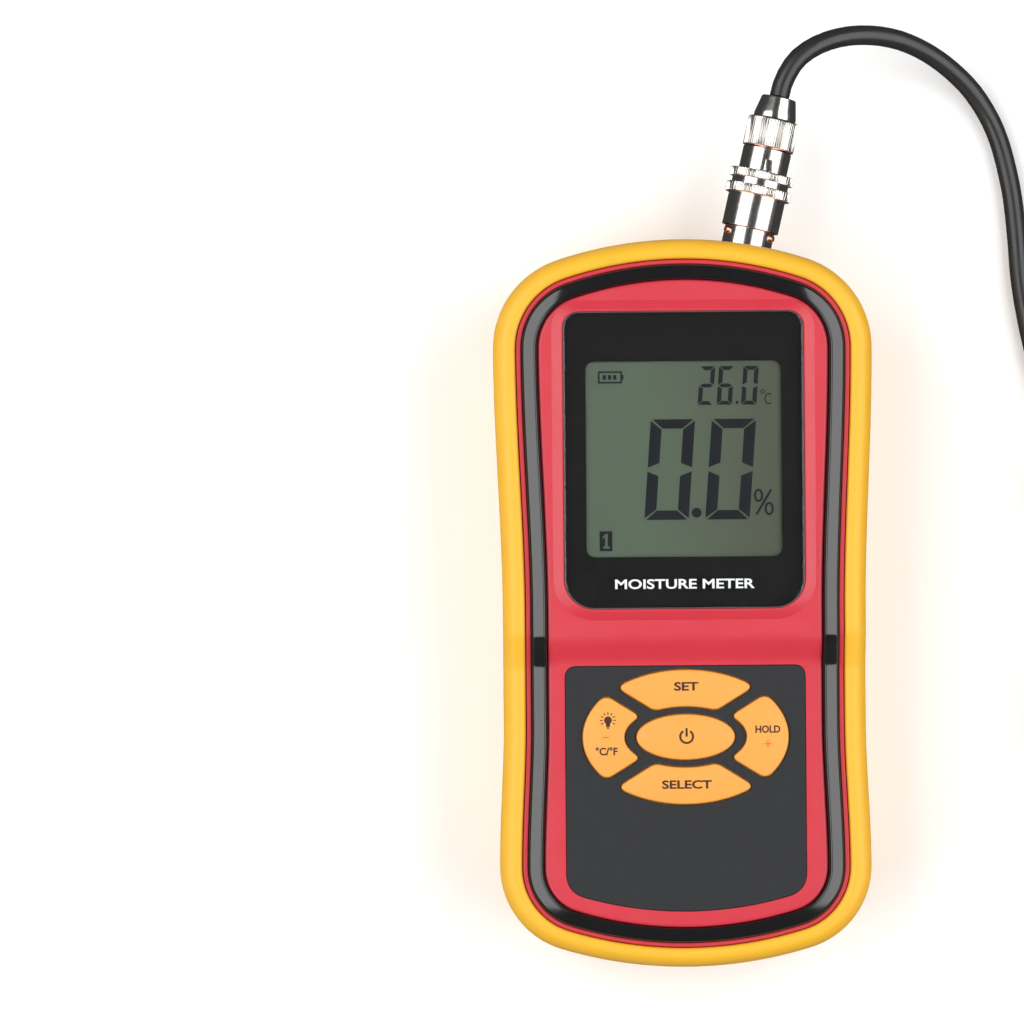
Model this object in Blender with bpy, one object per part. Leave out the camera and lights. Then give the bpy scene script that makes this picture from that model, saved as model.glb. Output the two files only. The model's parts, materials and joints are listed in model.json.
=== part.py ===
"""Hand-held grain moisture meter with a two-prong probe on a coiled instrument lead.

The meter lies on its back with its display up. +X is to the right of the display, +Y is towards the
socket end and +Z is up, out of the display. The origin is in the middle of the meter's back rest face.
The probe lies beside the meter: its handle collar and its prong tips touch the same surface.
Run it with: blender --background --python part.py
"""

import math

import bmesh
import bpy
from mathutils import Matrix, Vector

MM = 0.001
GAP = 0.3 * MM  # clearance between touching pieces
SEAM = 0.15 * MM  # clearance of an inlaid piece in its pocket
CLOSEST_POINTS = 0.25 * MM  # an outline's points are further apart than this
EPS = 1e-9

# Outline of the rubber boot, seen from the front
METER_LENGTH = 160.0 * MM
TOP_HALF_WIDTH = 41.6 * MM
FOOT_HALF_WIDTH = 40.9 * MM
WAIST_HALF_WIDTH = 39.85 * MM
TOP_CROWN_RADIUS = 88.0 * MM
FOOT_CROWN_RADIUS = 94.0 * MM
TOP_CORNER_RADIUS = 20.5 * MM
FOOT_CORNER_RADIUS = 18.9 * MM
WAIST_TOP_Y = -2.0 * MM
WAIST_FOOT_Y = -26.0 * MM
CROWN_STEPS = 4
CORNER_STEPS = 6
SIDE_STEPS = 4

# The front drops from the display zone to the keypad zone along a ramp
RAMP_TOP_Y = -6.3 * MM
RAMP_FOOT_Y = -14.2 * MM
FRONT_STEP = 2.6 * MM

# Heights of the display zone above the rest surface
FACE_Z = 37.2 * MM
RIM_Z = 36.6 * MM
SHOULDER_Z = 34.6 * MM
GROOVE_Z = 35.2 * MM
TRIM_CREST_Z = 38.4 * MM
CEILING_Z = 33.4 * MM
SPLIT_Z = 11.0 * MM
BACK_Z = 2.5 * MM
CASE_FLOOR_Z = 4.5 * MM

# Insets from the boot's outline. They are deeper along the sides than at the two ends
SIDE_GAIN = 0.11
CASE_INSET = 2.9 * MM
CASE_WALL = 2.0 * MM
RIM_INSET = 4.65 * MM
GROOVE_OUTER_INSET = 5.6 * MM
GROOVE_INNER_INSET = 9.0 * MM
WINDOW_INSET = 9.0 * MM

# Display
LENS_HALF_WIDTH = 26.3 * MM
LENS_TOP_Y = 64.0 * MM
LENS_FOOT_Y = -1.0 * MM
LENS_TOP_RADIUS = 3.5 * MM
LENS_FOOT_RADIUS = 6.6 * MM
LENS_TOP_Z = 38.1 * MM
LENS_THICKNESS = 1.5 * MM
MASK_THICKNESS = 0.2 * MM
FRAME_BEVEL = 2.1 * MM
FRAME_TOP_Z = 38.0 * MM
GLASS_HALF = 21.4 * MM
GLASS_CENTRE_Y = 31.7 * MM
GLASS_RADIUS = 1.9 * MM

# Keypad
PANEL_HALF_WIDTH = 26.3 * MM
PANEL_TOP_Y = -13.6 * MM
PANEL_SIDE_FOOT_Y = -63.0 * MM
PANEL_FOOT_Y = -67.4 * MM
PANEL_TOP_Z = 34.7 * MM
PANEL_THICKNESS = 0.9 * MM
KEYS_CENTRE_Y = -29.2 * MM
KEY_OUTER = (22.6 * MM, 14.75 * MM)
KEY_INNER = (13.4 * MM, 6.65 * MM)
POWER_KEY = (10.8 * MM, 5.0 * MM)
KEY_SECTOR_ANGLE = math.radians(31.8)
KEY_HALF_GAP = 1.33 * MM
KEY_TOP_Z = 35.4 * MM
KEY_FOOT_Z = 31.8 * MM

# Battery bay and its sliding door
BAY_HALF_WIDTH = 16.9 * MM
BAY_Y = (-60.0 * MM, -10.0 * MM)
BAY_TOP_Z = 14.0 * MM
BAY_WALL = 1.1 * MM
DOOR_HALF_WIDTH = 21.4 * MM
DOOR_Y = (-62.0 * MM, -8.0 * MM)
DOOR_Z = (0.7 * MM, 2.2 * MM)
DOOR_TRAVEL = 6.4 * MM
STRAP_Y = (-6.0 * MM, 8.0 * MM)

# Case screws
POST_RADIUS = 3.6 * MM
POSTS = [(-29.5 * MM, 55.0 * MM), (29.5 * MM, 55.0 * MM), (-28.5 * MM, -54.0 * MM), (28.5 * MM, -54.0 * MM)]

# Circuit board
BOARD_Z = (28.3 * MM, 29.9 * MM)

# Socket and plug, along an axis that leans to the right of +Y
SOCKET_AT = Vector((14.9, 79.5, 20.0)) * MM
SOCKET_LEAN = math.radians(13.0)

# Instrument lead
CORD_RADIUS = 2.2 * MM
CORD_POINT_SPACING = 9.0 * MM

# Tied hank of the spare lead
HANK_CENTRE = Vector((103.0, 0.0)) * MM
HANK_HALF_LENGTH = 42.0 * MM
HANK_LOBE_RADIUS = 16.4 * MM
HANK_WAIST = 5.0 * MM
HANK_HEIGHT = 16.3 * MM
HANK_SWING = math.radians(47)  # each lobe runs on this far past a half circle, each side
TIE_HALF_WIDTH = 3.0 * MM
TIE_THICKNESS = 1.0 * MM

# Probe, along its own axis: zero is the handle's prong end
HANDLE_LENGTH = 113.0 * MM
COLLAR_RADIUS = 17.6 * MM
COLLAR_AT = 2.0 * MM
COLLAR_REACH = COLLAR_RADIUS + SEAM
PRONG_RADIUS = 3.5 * MM
PRONG_LENGTH = 293.0 * MM
PRONG_SPACING = 13.0 * MM
TIP_LENGTH = 27.6 * MM
CONE_LENGTH = 16.0 * MM
PROBE_X = 150.0 * MM
PROBE_Y = 22.0 * MM
RELIEF_LENGTH = 12.0 * MM
HANDLE_SCREWS_AT = (18.3 * MM, 96.4 * MM)
REST_LIFT = 0.05 * MM  # the probe and the lead stay this far above the surface

COLOURS = {
    "boot_yellow": ((0.95, 0.55, 0.04), 0.5, 0.0),
    "case_red": ((0.70, 0.04, 0.07), 0.35, 0.0),
    "gloss_black": ((0.01, 0.01, 0.012), 0.1, 0.0),
    "panel_grey": ((0.045, 0.045, 0.05), 0.7, 0.0),
    "key_amber": ((0.95, 0.45, 0.09), 0.5, 0.0),
    "clear_window": ((0.8, 0.85, 0.85), 0.05, 0.0),
    "lcd_grey": ((0.20, 0.26, 0.18), 0.3, 0.0),
    "diffuser_white": ((0.85, 0.88, 0.85), 0.4, 0.0),
    "board_green": ((0.02, 0.20, 0.07), 0.4, 0.0),
    "black_plastic": ((0.02, 0.02, 0.022), 0.45, 0.0),
    "nickel": ((0.78, 0.76, 0.72), 0.2, 1.0),
    "brass": ((0.75, 0.50, 0.22), 0.3, 1.0),
    "steel": ((0.70, 0.70, 0.70), 0.22, 1.0),
    "screw_steel": ((0.35, 0.35, 0.37), 0.3, 1.0),
    "battery_wrap": ((0.10, 0.16, 0.28), 0.3, 0.0),
    "insulator_white": ((0.82, 0.80, 0.74), 0.5, 0.0),
    "cord_black": ((0.02, 0.02, 0.022), 0.45, 0.0),
}


# ---------------------------------------------------------------- scene and mesh helpers


def clear_scene():
    for obj in list(bpy.data.objects):
        bpy.data.objects.remove(obj)


def material(name):
    found = bpy.data.materials.get(name)
    if found:
        return found
    colour, roughness, metallic = COLOURS[name]
    made = bpy.data.materials.new(name)
    made.use_nodes = True
    shader = made.node_tree.nodes["Principled BSDF"]
    shader.inputs["Base Color"].default_value = (*colour, 1.0)
    shader.inputs["Roughness"].default_value = roughness
    shader.inputs["Metallic"].default_value = metallic
    made.diffuse_color = (*colour, 1.0)
    return made


def make_object(name, bm, colour, parent=None):
    """Turns a bmesh into a shaded object, with its faces pointing out."""
    bmesh.ops.recalc_face_normals(bm, faces=bm.faces)
    mesh = bpy.data.meshes.new(name)
    bm.to_mesh(mesh)
    bm.free()
    mesh.shade_smooth()
    mesh.set_sharp_from_angle(angle=math.radians(35))
    obj = bpy.data.objects.new(name, mesh)
    bpy.context.scene.collection.objects.link(obj)
    mesh.materials.append(material(colour))
    obj.parent = parent
    return obj


def make_tool(name, bm, parent=None):
    """A hidden mesh that a Boolean cuts away or joins on."""
    obj = make_object(name, bm, "gloss_black", parent)
    obj.hide_render = True
    obj.display_type = "WIRE"
    return obj


def boolean(obj, tool, operation="DIFFERENCE"):
    modifier = obj.modifiers.new(operation.title(), "BOOLEAN")
    modifier.operation = operation
    modifier.object = tool
    modifier.solver = "EXACT"
    return obj


def empty(name, matrix):
    obj = bpy.data.objects.new(name, None)
    bpy.context.scene.collection.objects.link(obj)
    obj.matrix_world = matrix
    return obj


def at_height(outline, z):
    return [Vector((p[0], p[1], z)) for p in outline]


def add_loft(bm, loops, cap=None, ring=False):
    """Skins a list of loops with the same number of points. ring joins the last loop to the first."""
    cap = cap or (lambda mesh, verts: mesh.faces.new(verts))
    rows = [[bm.verts.new(p) for p in loop] for loop in loops]
    pairs = list(zip(rows, rows[1:]))
    if ring:
        pairs.append((rows[-1], rows[0]))
    count = len(rows[0])
    for low, high in pairs:
        for i in range(count):
            j = (i + 1) % count
            bm.faces.new((low[i], low[j], high[j], high[i]))
    if not ring:
        cap(bm, rows[0][::-1])
        cap(bm, rows[-1])
    return rows


def add_prism(bm, outline, low, high):
    add_loft(bm, [at_height(outline, low), at_height(outline, high)])


def add_box(bm, x, y, z):
    outline = [(x[0], y[0]), (x[1], y[0]), (x[1], y[1]), (x[0], y[1])]
    add_prism(bm, outline, z[0], z[1])


def circle(radius, segments, centre=(0.0, 0.0)):
    step = 2 * math.pi / segments
    return [
        (centre[0] + radius * math.cos(i * step), centre[1] + radius * math.sin(i * step))
        for i in range(segments)
    ]


def add_cylinder(bm, centre, radius, z, segments=16):
    add_prism(bm, circle(radius, segments, centre), z[0], z[1])


def add_turned(bm, profile, segments=24, sweep=2 * math.pi, centre=(0.0, 0.0)):
    """Turns a profile of (radius, height) about the local Z axis.

    A profile whose ends are on the axis makes a solid. Any other profile is a closed section of a ring.
    """
    whole = sweep > 2 * math.pi - EPS
    steps = segments if whole else segments + 1
    columns = []
    for radius, height in profile:
        if radius < EPS:
            vert = bm.verts.new((centre[0], centre[1], height))
            columns.append([vert] * steps)
            continue
        column = []
        for i in range(steps):
            angle = sweep * i / segments
            place = (centre[0] + radius * math.cos(angle), centre[1] + radius * math.sin(angle), height)
            column.append(bm.verts.new(place))
        columns.append(column)
    on_axis = profile[0][0] < EPS and profile[-1][0] < EPS
    pairs = list(zip(columns, columns[1:]))
    if not on_axis:
        pairs.append((columns[-1], columns[0]))
    for first, second in pairs:
        for i in range(segments):
            j = (i + 1) % steps
            corners = []
            for vert in (first[i], first[j], second[j], second[i]):
                if vert not in corners:
                    corners.append(vert)
            if len(corners) > 2:
                bm.faces.new(corners)
    if not whole:
        bm.faces.new([column[0] for column in columns])
        bm.faces.new([column[-1] for column in columns][::-1])


def turned(name, profile, colour, parent, segments=24, centre=(0.0, 0.0)):
    bm = bmesh.new()
    add_turned(bm, profile, segments, centre=centre)
    return make_object(name, bm, colour, parent)


def tube_profile(inner, outer, low, high):
    return [(inner, low), (outer, low), (outer, high), (inner, high)]


def rod_profile(radius, low, high, chamfer=0.0):
    return [(0.0, low), (radius - chamfer, low), (radius, low + chamfer),
            (radius, high - chamfer), (radius - chamfer, high), (0.0, high)] if chamfer else [
        (0.0, low), (radius, low), (radius, high), (0.0, high)]


# ---------------------------------------------------------------- outlines


def arc(centre, radius, start, end, steps):
    """Points from one angle to another, without the last one."""
    return [
        (centre[0] + radius * math.cos(start + (end - start) * i / steps),
         centre[1] + radius * math.sin(start + (end - start) * i / steps))
        for i in range(steps)
    ]


def half_width(y):
    """Half width of the boot's side between its corners: straight at the waist, wider towards each end."""
    if y > WAIST_TOP_Y:
        share = (y - WAIST_TOP_Y) / (top_corner()[1] - WAIST_TOP_Y)
        wide = TOP_HALF_WIDTH
    elif y < WAIST_FOOT_Y:
        share = (WAIST_FOOT_Y - y) / (WAIST_FOOT_Y - foot_corner()[1])
        wide = FOOT_HALF_WIDTH
    else:
        return WAIST_HALF_WIDTH
    return WAIST_HALF_WIDTH + (wide - WAIST_HALF_WIDTH) * share * share * (3 - 2 * share)


def corner_centre(half, crown, corner):
    """Where a corner arc's centre is, and the angle that its crown arc spans: (x, drop from the end, angle)."""
    angle = math.asin((half - corner) / (crown - corner))
    return half - corner, crown - (crown - corner) * math.cos(angle), angle


def top_corner():
    x, drop, angle = corner_centre(TOP_HALF_WIDTH, TOP_CROWN_RADIUS, TOP_CORNER_RADIUS)
    return x, METER_LENGTH / 2 - drop, angle


def foot_corner():
    x, drop, angle = corner_centre(FOOT_HALF_WIDTH, FOOT_CROWN_RADIUS, FOOT_CORNER_RADIUS)
    return x, drop - METER_LENGTH / 2, angle


def side_heights():
    """The y values along a side, with a point on each edge of the ramp."""
    foot, top = foot_corner()[1], top_corner()[1]
    low = [foot + (RAMP_FOOT_Y - foot) * i / SIDE_STEPS for i in range(SIDE_STEPS)]
    high = [RAMP_TOP_Y + (top - RAMP_TOP_Y) * i / SIDE_STEPS for i in range(SIDE_STEPS)]
    return low + [RAMP_FOOT_Y] + high


def meter_outline(inset=0.0):
    """The boot's outline moved inwards by inset, anticlockwise from the middle of the foot end.

    The sides move in by SIDE_GAIN more than the ends do.
    """
    half = METER_LENGTH / 2
    foot_x, foot_y, foot_angle = foot_corner()
    top_x, top_y, top_angle = top_corner()
    quarter = math.pi / 2
    right = arc((0, FOOT_CROWN_RADIUS - half), FOOT_CROWN_RADIUS - inset,
                -quarter, foot_angle - quarter, CROWN_STEPS)
    right += arc((foot_x, foot_y), FOOT_CORNER_RADIUS - inset, foot_angle - quarter, 0, CORNER_STEPS)
    right += [(half_width(y) - inset, y) for y in side_heights()]
    right += arc((top_x, top_y), TOP_CORNER_RADIUS - inset, 0, quarter - top_angle, CORNER_STEPS)
    right += arc((0, half - TOP_CROWN_RADIUS), TOP_CROWN_RADIUS - inset,
                 quarter - top_angle, quarter, CROWN_STEPS)
    right.append((0, half - inset))
    narrower = 1 - SIDE_GAIN * inset / TOP_HALF_WIDTH
    right = [(x * narrower, y) for x, y in right]
    left = [(-x, y) for x, y in reversed(right[1:-1])]
    return right + left


def drop_at(y):
    """How far the front has dropped at a place along the meter."""
    share = (RAMP_TOP_Y - y) / (RAMP_TOP_Y - RAMP_FOOT_Y)
    return FRONT_STEP * min(1.0, max(0.0, share))


def stepped(outline, z, share=1.0):
    """A loop at height z in the display zone that follows the ramp down to the keypad zone."""
    return [Vector((x, y, z - share * drop_at(y))) for x, y in outline]


def stepped_cap(bm, verts):
    """Closes a loop that follows the ramp with three flat faces: display zone, ramp and keypad zone."""
    tolerance = 1e-7
    zones = (
        [v for v in verts if v.co.y > RAMP_TOP_Y - tolerance],
        [v for v in verts if RAMP_FOOT_Y - tolerance < v.co.y < RAMP_TOP_Y + tolerance],
        [v for v in verts if v.co.y < RAMP_FOOT_Y + tolerance],
    )
    for zone in zones:
        bm.faces.new(zone)


def flat_or_stepped_cap(bm, verts):
    heights = [v.co.z for v in verts]
    if max(heights) - min(heights) < EPS:
        bm.faces.new(verts)
    else:
        stepped_cap(bm, verts)


def grown(outline, distance):
    """An outline, anticlockwise, with each side moved outwards by distance."""
    count = len(outline)
    moved = []
    for i, point in enumerate(outline):
        before, after = Vector(outline[i - 1]), Vector(outline[(i + 1) % count])
        here = Vector(point)
        first = (here - before).normalized()
        second = (after - here).normalized()
        normal_a, normal_b = Vector((first.y, -first.x)), Vector((second.y, -second.x))
        middle = (normal_a + normal_b).normalized()
        moved.append(tuple(here + middle * (distance / max(0.5, middle.dot(normal_a)))))
    return moved


def rounded_box(half_x, low_y, high_y, low_radius, high_radius, steps=4):
    quarter = math.pi / 2
    outline = arc((half_x - low_radius, low_y + low_radius), low_radius, -quarter, 0, steps)
    outline.append((half_x, low_y + low_radius))
    outline += arc((half_x - high_radius, high_y - high_radius), high_radius, 0, quarter, steps)
    outline.append((half_x - high_radius, high_y))
    outline += arc((high_radius - half_x, high_y - high_radius), high_radius, quarter, 2 * quarter, steps)
    outline.append((-half_x, high_y - high_radius))
    outline += arc((low_radius - half_x, low_y + low_radius), low_radius, 2 * quarter, 3 * quarter, steps)
    outline.append((low_radius - half_x, low_y))
    return outline


def square(half, centre_y):
    return [(-half, centre_y - half), (half, centre_y - half), (half, centre_y + half), (-half, centre_y + half)]


def lens_outline():
    return rounded_box(LENS_HALF_WIDTH, LENS_FOOT_Y, LENS_TOP_Y, LENS_FOOT_RADIUS, LENS_TOP_RADIUS)


def trimmed(points, start, end):
    """A polyline of 2D points shortened at each end by a length."""
    def shorten(line, length):
        line = [Vector(p) for p in line]
        while len(line) > 2 and (line[1] - line[0]).length <= length:
            length -= (line[1] - line[0]).length
            line.pop(0)
        line[0] = line[0] + (line[1] - line[0]).normalized() * length
        return line
    return shorten(shorten(points, start)[::-1], end)[::-1]


def rounded_chain(curves, cuts, steps=3):
    """Joins curves end to end into one outline. Each corner is cut back by its cut and rounded."""
    count = len(curves)
    pieces = [trimmed(curve, cuts[i - 1], cuts[i]) for i, curve in enumerate(curves)]
    outline = []
    for i, piece in enumerate(pieces):
        outline += [tuple(p) for p in piece]
        corner = Vector(curves[i][-1])
        start, end = piece[-1], pieces[(i + 1) % count][0]
        for k in range(1, steps):
            t = k / steps
            outline.append(tuple(start * (1 - t) ** 2 + corner * (2 * t * (1 - t)) + end * t * t))
    return [p for i, p in enumerate(outline) if (Vector(p) - Vector(outline[i - 1])).length > CLOSEST_POINTS]


def ellipse_arc(axes, start, end, steps=7):
    return [
        (axes[0] * math.cos(start + (end - start) * i / steps),
         axes[1] * math.sin(start + (end - start) * i / steps))
        for i in range(steps + 1)
    ]


def ellipse_angle(axes, offset):
    """The ellipse's own angle where a gap line, moved sideways by offset, crosses it."""
    along = Vector((math.cos(KEY_SECTOR_ANGLE), math.sin(KEY_SECTOR_ANGLE)))
    across = Vector((-along.y, along.x)) * offset
    a = (along.x / axes[0]) ** 2 + (along.y / axes[1]) ** 2
    b = 2 * (along.x * across.x / axes[0] ** 2 + along.y * across.y / axes[1] ** 2)
    c = (across.x / axes[0]) ** 2 + (across.y / axes[1]) ** 2 - 1
    t = (-b + math.sqrt(b * b - 4 * a * c)) / (2 * a)
    point = along * t + across
    return math.atan2(point.y / axes[1], point.x / axes[0])


def long_key():
    """The upper key: between the gap lines, inside the outer ellipse and outside the inner one."""
    outer = ellipse_angle(KEY_OUTER, KEY_HALF_GAP)
    inner = ellipse_angle(KEY_INNER, KEY_HALF_GAP)
    top = ellipse_arc(KEY_OUTER, outer, math.pi - outer)
    foot = ellipse_arc(KEY_INNER, math.pi - inner, inner)
    cuts = (2.2 * MM, 1.3 * MM, 1.3 * MM, 2.2 * MM)
    return rounded_chain([top, [top[-1], foot[0]], foot, [foot[-1], top[0]]], cuts)


def side_key():
    """The right key, shaped as the long key is, but below the gap line."""
    outer = ellipse_angle(KEY_OUTER, -KEY_HALF_GAP)
    inner = ellipse_angle(KEY_INNER, -KEY_HALF_GAP)
    far = ellipse_arc(KEY_OUTER, -outer, outer)
    near = ellipse_arc(KEY_INNER, inner, -inner)
    cuts = (1.8 * MM, 1.8 * MM, 1.8 * MM, 1.8 * MM)
    return rounded_chain([far, [far[-1], near[0]], near, [near[-1], far[0]]], cuts)


def mirrored(outline, x=1, y=1):
    """The outline mirrored, and still anticlockwise."""
    moved = [(x * a, y * b) for a, b in outline]
    return moved[::-1] if x * y < 0 else moved


def key_outlines():
    """Each key's outline in the meter's frame."""
    shapes = {
        "key_set": long_key(),
        "key_select": mirrored(long_key(), y=-1),
        "key_hold": side_key(),
        "key_light": mirrored(side_key(), x=-1),
        "key_power": ellipse_arc(POWER_KEY, 0, 2 * math.pi, 24)[:-1],
    }
    return {name: [(x, y + KEYS_CENTRE_Y) for x, y in shape] for name, shape in shapes.items()}


def panel_outline():
    """The keypad panel: straight sides and a foot edge that follows the boot's crown."""
    sag = PANEL_SIDE_FOOT_Y - PANEL_FOOT_Y
    radius = (PANEL_HALF_WIDTH ** 2 + sag ** 2) / (2 * sag)
    centre = (0, PANEL_FOOT_Y + radius)
    swing = math.asin(PANEL_HALF_WIDTH / radius)
    foot = arc(centre, radius, -math.pi / 2 - swing, swing - math.pi / 2, 8)
    foot.append((PANEL_HALF_WIDTH, PANEL_SIDE_FOOT_Y))
    right = [(PANEL_HALF_WIDTH, PANEL_SIDE_FOOT_Y), (PANEL_HALF_WIDTH, PANEL_TOP_Y)]
    top = [(PANEL_HALF_WIDTH, PANEL_TOP_Y), (-PANEL_HALF_WIDTH, PANEL_TOP_Y)]
    left = [(-PANEL_HALF_WIDTH, PANEL_TOP_Y), (-PANEL_HALF_WIDTH, PANEL_SIDE_FOOT_Y)]
    cuts = (4.0 * MM, 2.6 * MM, 2.6 * MM, 4.0 * MM)
    return rounded_chain([foot, right, top, left], cuts)


# ---------------------------------------------------------------- the meter


def connector_matrix():
    """Local Z along the socket's axis, local X to its right and local Y down."""
    right = Vector((math.cos(SOCKET_LEAN), -math.sin(SOCKET_LEAN), 0))
    axis = Vector((math.sin(SOCKET_LEAN), math.cos(SOCKET_LEAN), 0))
    turn = Matrix((right, axis.cross(right), axis)).transposed()
    return Matrix.Translation(SOCKET_AT) @ turn.to_4x4()


def socket_cutter(name, radius, low, high, connector):
    bm = bmesh.new()
    add_turned(bm, rod_profile(radius, low, high), 20)
    return make_tool(name, bm, connector)


def window_outline(low, high):
    """The part of the boot's back window between two heights."""
    edge = [p for p in meter_outline(WINDOW_INSET) if low < p[1] < high]
    lowest, highest = min(p[1] for p in edge), max(p[1] for p in edge)
    half_low, half_high = half_width(low) - WINDOW_INSET, half_width(high) - WINDOW_INSET
    if highest < high - EPS and abs(high) < METER_LENGTH / 2 - WINDOW_INSET:
        edge += [(half_high, high), (-half_high, high)]
    if lowest > low + EPS and abs(low) < METER_LENGTH / 2 - WINDOW_INSET:
        edge += [(half_low, low), (-half_low, low)]
    middle = Vector((0, (lowest + highest) / 2))
    return sorted(edge, key=lambda p: math.atan2(p[1] - middle.y, p[0] - middle.x))


def make_boot(connector):
    """Rubber boot: a tub whose lip curls over the case, with two windows in its back."""
    lip = 1.0  # the share of the front step that a loop follows
    profile = [  # inset, height, share of the front step
        (5.3, 2.2, 0.0), (2.6, 7.2, 0.0), (2.6, 34.9, lip), (4.35, 34.9, lip), (4.35, 36.4, lip),
        (3.4, 37.0, lip), (2.0, 36.9, lip), (0.7, 36.0, lip), (0.0, 33.6, lip),
        (0.0, 12.0, 0.0), (1.0, 5.6, 0.0), (3.0, 1.6, 0.0), (6.0, 0.0, 0.0),
    ]
    bm = bmesh.new()
    add_loft(bm, [stepped(meter_outline(inset * MM), z * MM, share) for inset, z, share in profile],
             flat_or_stepped_cap)
    boot = make_object("boot", bm, "boot_yellow")
    bm = bmesh.new()
    for low, high in ((-METER_LENGTH, STRAP_Y[0]), (STRAP_Y[1], METER_LENGTH)):
        add_prism(bm, window_outline(low, high), -3 * MM, 5 * MM)
    boolean(boot, make_tool("cut_boot_windows", bm))
    boolean(boot, socket_cutter("cut_boot_socket", 6.7 * MM, -12 * MM, 12 * MM, connector))
    return boot


def make_front_case(connector):
    """Red front shell: flange under the boot's lip, trim groove, display frame, pockets and screw posts."""
    outer = [
        (CASE_INSET + CASE_WALL, CEILING_Z, 1), (CASE_INSET + CASE_WALL, SPLIT_Z + GAP, 0),
        (CASE_INSET, SPLIT_Z + GAP, 0), (CASE_INSET, SHOULDER_Z, 1), (RIM_INSET, SHOULDER_Z, 1),
        (RIM_INSET, RIM_Z, 1), (GROOVE_OUTER_INSET, RIM_Z, 1), (GROOVE_OUTER_INSET, GROOVE_Z, 1),
        (GROOVE_INNER_INSET, GROOVE_Z, 1), (GROOVE_INNER_INSET, FACE_Z, 1),
    ]
    bm = bmesh.new()
    add_loft(bm, [stepped(meter_outline(inset), z, share) for inset, z, share in outer], flat_or_stepped_cap)
    case = make_object("front_case", bm, "case_red")
    bm = bmesh.new()
    add_loft(bm, [at_height(grown(lens_outline(), FRAME_BEVEL + 0.6 * MM), FACE_Z - 0.3 * MM),
                  at_height(grown(lens_outline(), 0.3 * MM), FRAME_TOP_Z)])
    for x, y in POSTS:
        add_cylinder(bm, (x, y), POST_RADIUS, (SPLIT_Z + GAP, CEILING_Z - drop_at(y) + 1.0 * MM))
    boolean(case, make_tool("join_front_case", bm), "UNION")
    oval = ellipse_arc((KEY_OUTER[0] + 1.1 * MM, KEY_OUTER[1] + 0.8 * MM), 0, 2 * math.pi, 28)[:-1]
    lens_pocket_z = LENS_TOP_Z - LENS_THICKNESS - 0.5 * MM
    panel_pocket_z = PANEL_TOP_Z - PANEL_THICKNESS - 0.2 * MM
    for name, outline, low, high in (
        ("lens_pocket", grown(lens_outline(), SEAM), lens_pocket_z, 45 * MM),
        ("glass_opening", square(24.5 * MM, GLASS_CENTRE_Y), 31 * MM, 37 * MM),
        ("panel_pocket", grown(panel_outline(), SEAM), panel_pocket_z, 45 * MM),
        ("key_opening", [(x, y + KEYS_CENTRE_Y) for x, y in oval], 26 * MM, 35 * MM),
    ):
        bm = bmesh.new()
        add_prism(bm, outline, low, high)
        boolean(case, make_tool("cut_" + name, bm))
    bm = bmesh.new()
    for x, y in POSTS:
        add_cylinder(bm, (x, y), 1.5 * MM, (5 * MM, 28 * MM), 10)
    boolean(case, make_tool("cut_pilot_holes", bm))
    boolean(case, socket_cutter("cut_case_socket", 5.0 * MM, -12 * MM, 6 * MM, connector))
    return case


def make_rear_case():
    """Red rear shell: battery bay, slots for the door's hooks, and counterbored screw posts."""
    profile = [
        (CASE_INSET + CASE_WALL, SPLIT_Z), (CASE_INSET + CASE_WALL, 7.4 * MM), (7.4 * MM, CASE_FLOOR_Z),
    ]
    outer = [(5.7 * MM, BACK_Z), (CASE_INSET, 7.4 * MM), (CASE_INSET, SPLIT_Z)]
    loops = [at_height(meter_outline(inset), z) for inset, z in reversed(profile)]
    loops += [at_height(meter_outline(inset), z) for inset, z in reversed(outer)]
    bm = bmesh.new()
    add_loft(bm, loops)
    case = make_object("rear_case", bm, "case_red")
    bm = bmesh.new()
    wall_x = BAY_HALF_WIDTH + BAY_WALL
    add_box(bm, (-wall_x, wall_x), (BAY_Y[0] - BAY_WALL, BAY_Y[1] + BAY_WALL), (3.5 * MM, BAY_TOP_Z + BAY_WALL))
    for x, y in POSTS:
        add_cylinder(bm, (x, y), POST_RADIUS, (3.5 * MM, SPLIT_Z))
    boolean(case, make_tool("join_rear_case", bm), "UNION")
    bm = bmesh.new()
    add_box(bm, (-BAY_HALF_WIDTH, BAY_HALF_WIDTH), BAY_Y, (-2 * MM, BAY_TOP_Z))
    for x, y in POSTS:
        add_turned(bm, [(0, -2 * MM), (3.0 * MM, -2 * MM), (3.0 * MM, 7 * MM),
                        (1.6 * MM, 7 * MM), (1.6 * MM, 14 * MM), (0, 14 * MM)], 12, centre=(x, y))
    for side in (-1, 1):
        for y in hook_places():
            xs = sorted((side * 18.45 * MM, side * 20.8 * MM))
            add_box(bm, xs, (y - DOOR_TRAVEL - 1.0 * MM, y + 3.5 * MM), (1 * MM, 6 * MM))
    boolean(case, make_tool("cut_rear_case", bm))
    return case


def hook_places():
    """Where the door's hooks stand, along the meter."""
    return (DOOR_Y[0] + 12.5 * MM, DOOR_Y[1] - 13.5 * MM)


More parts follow.
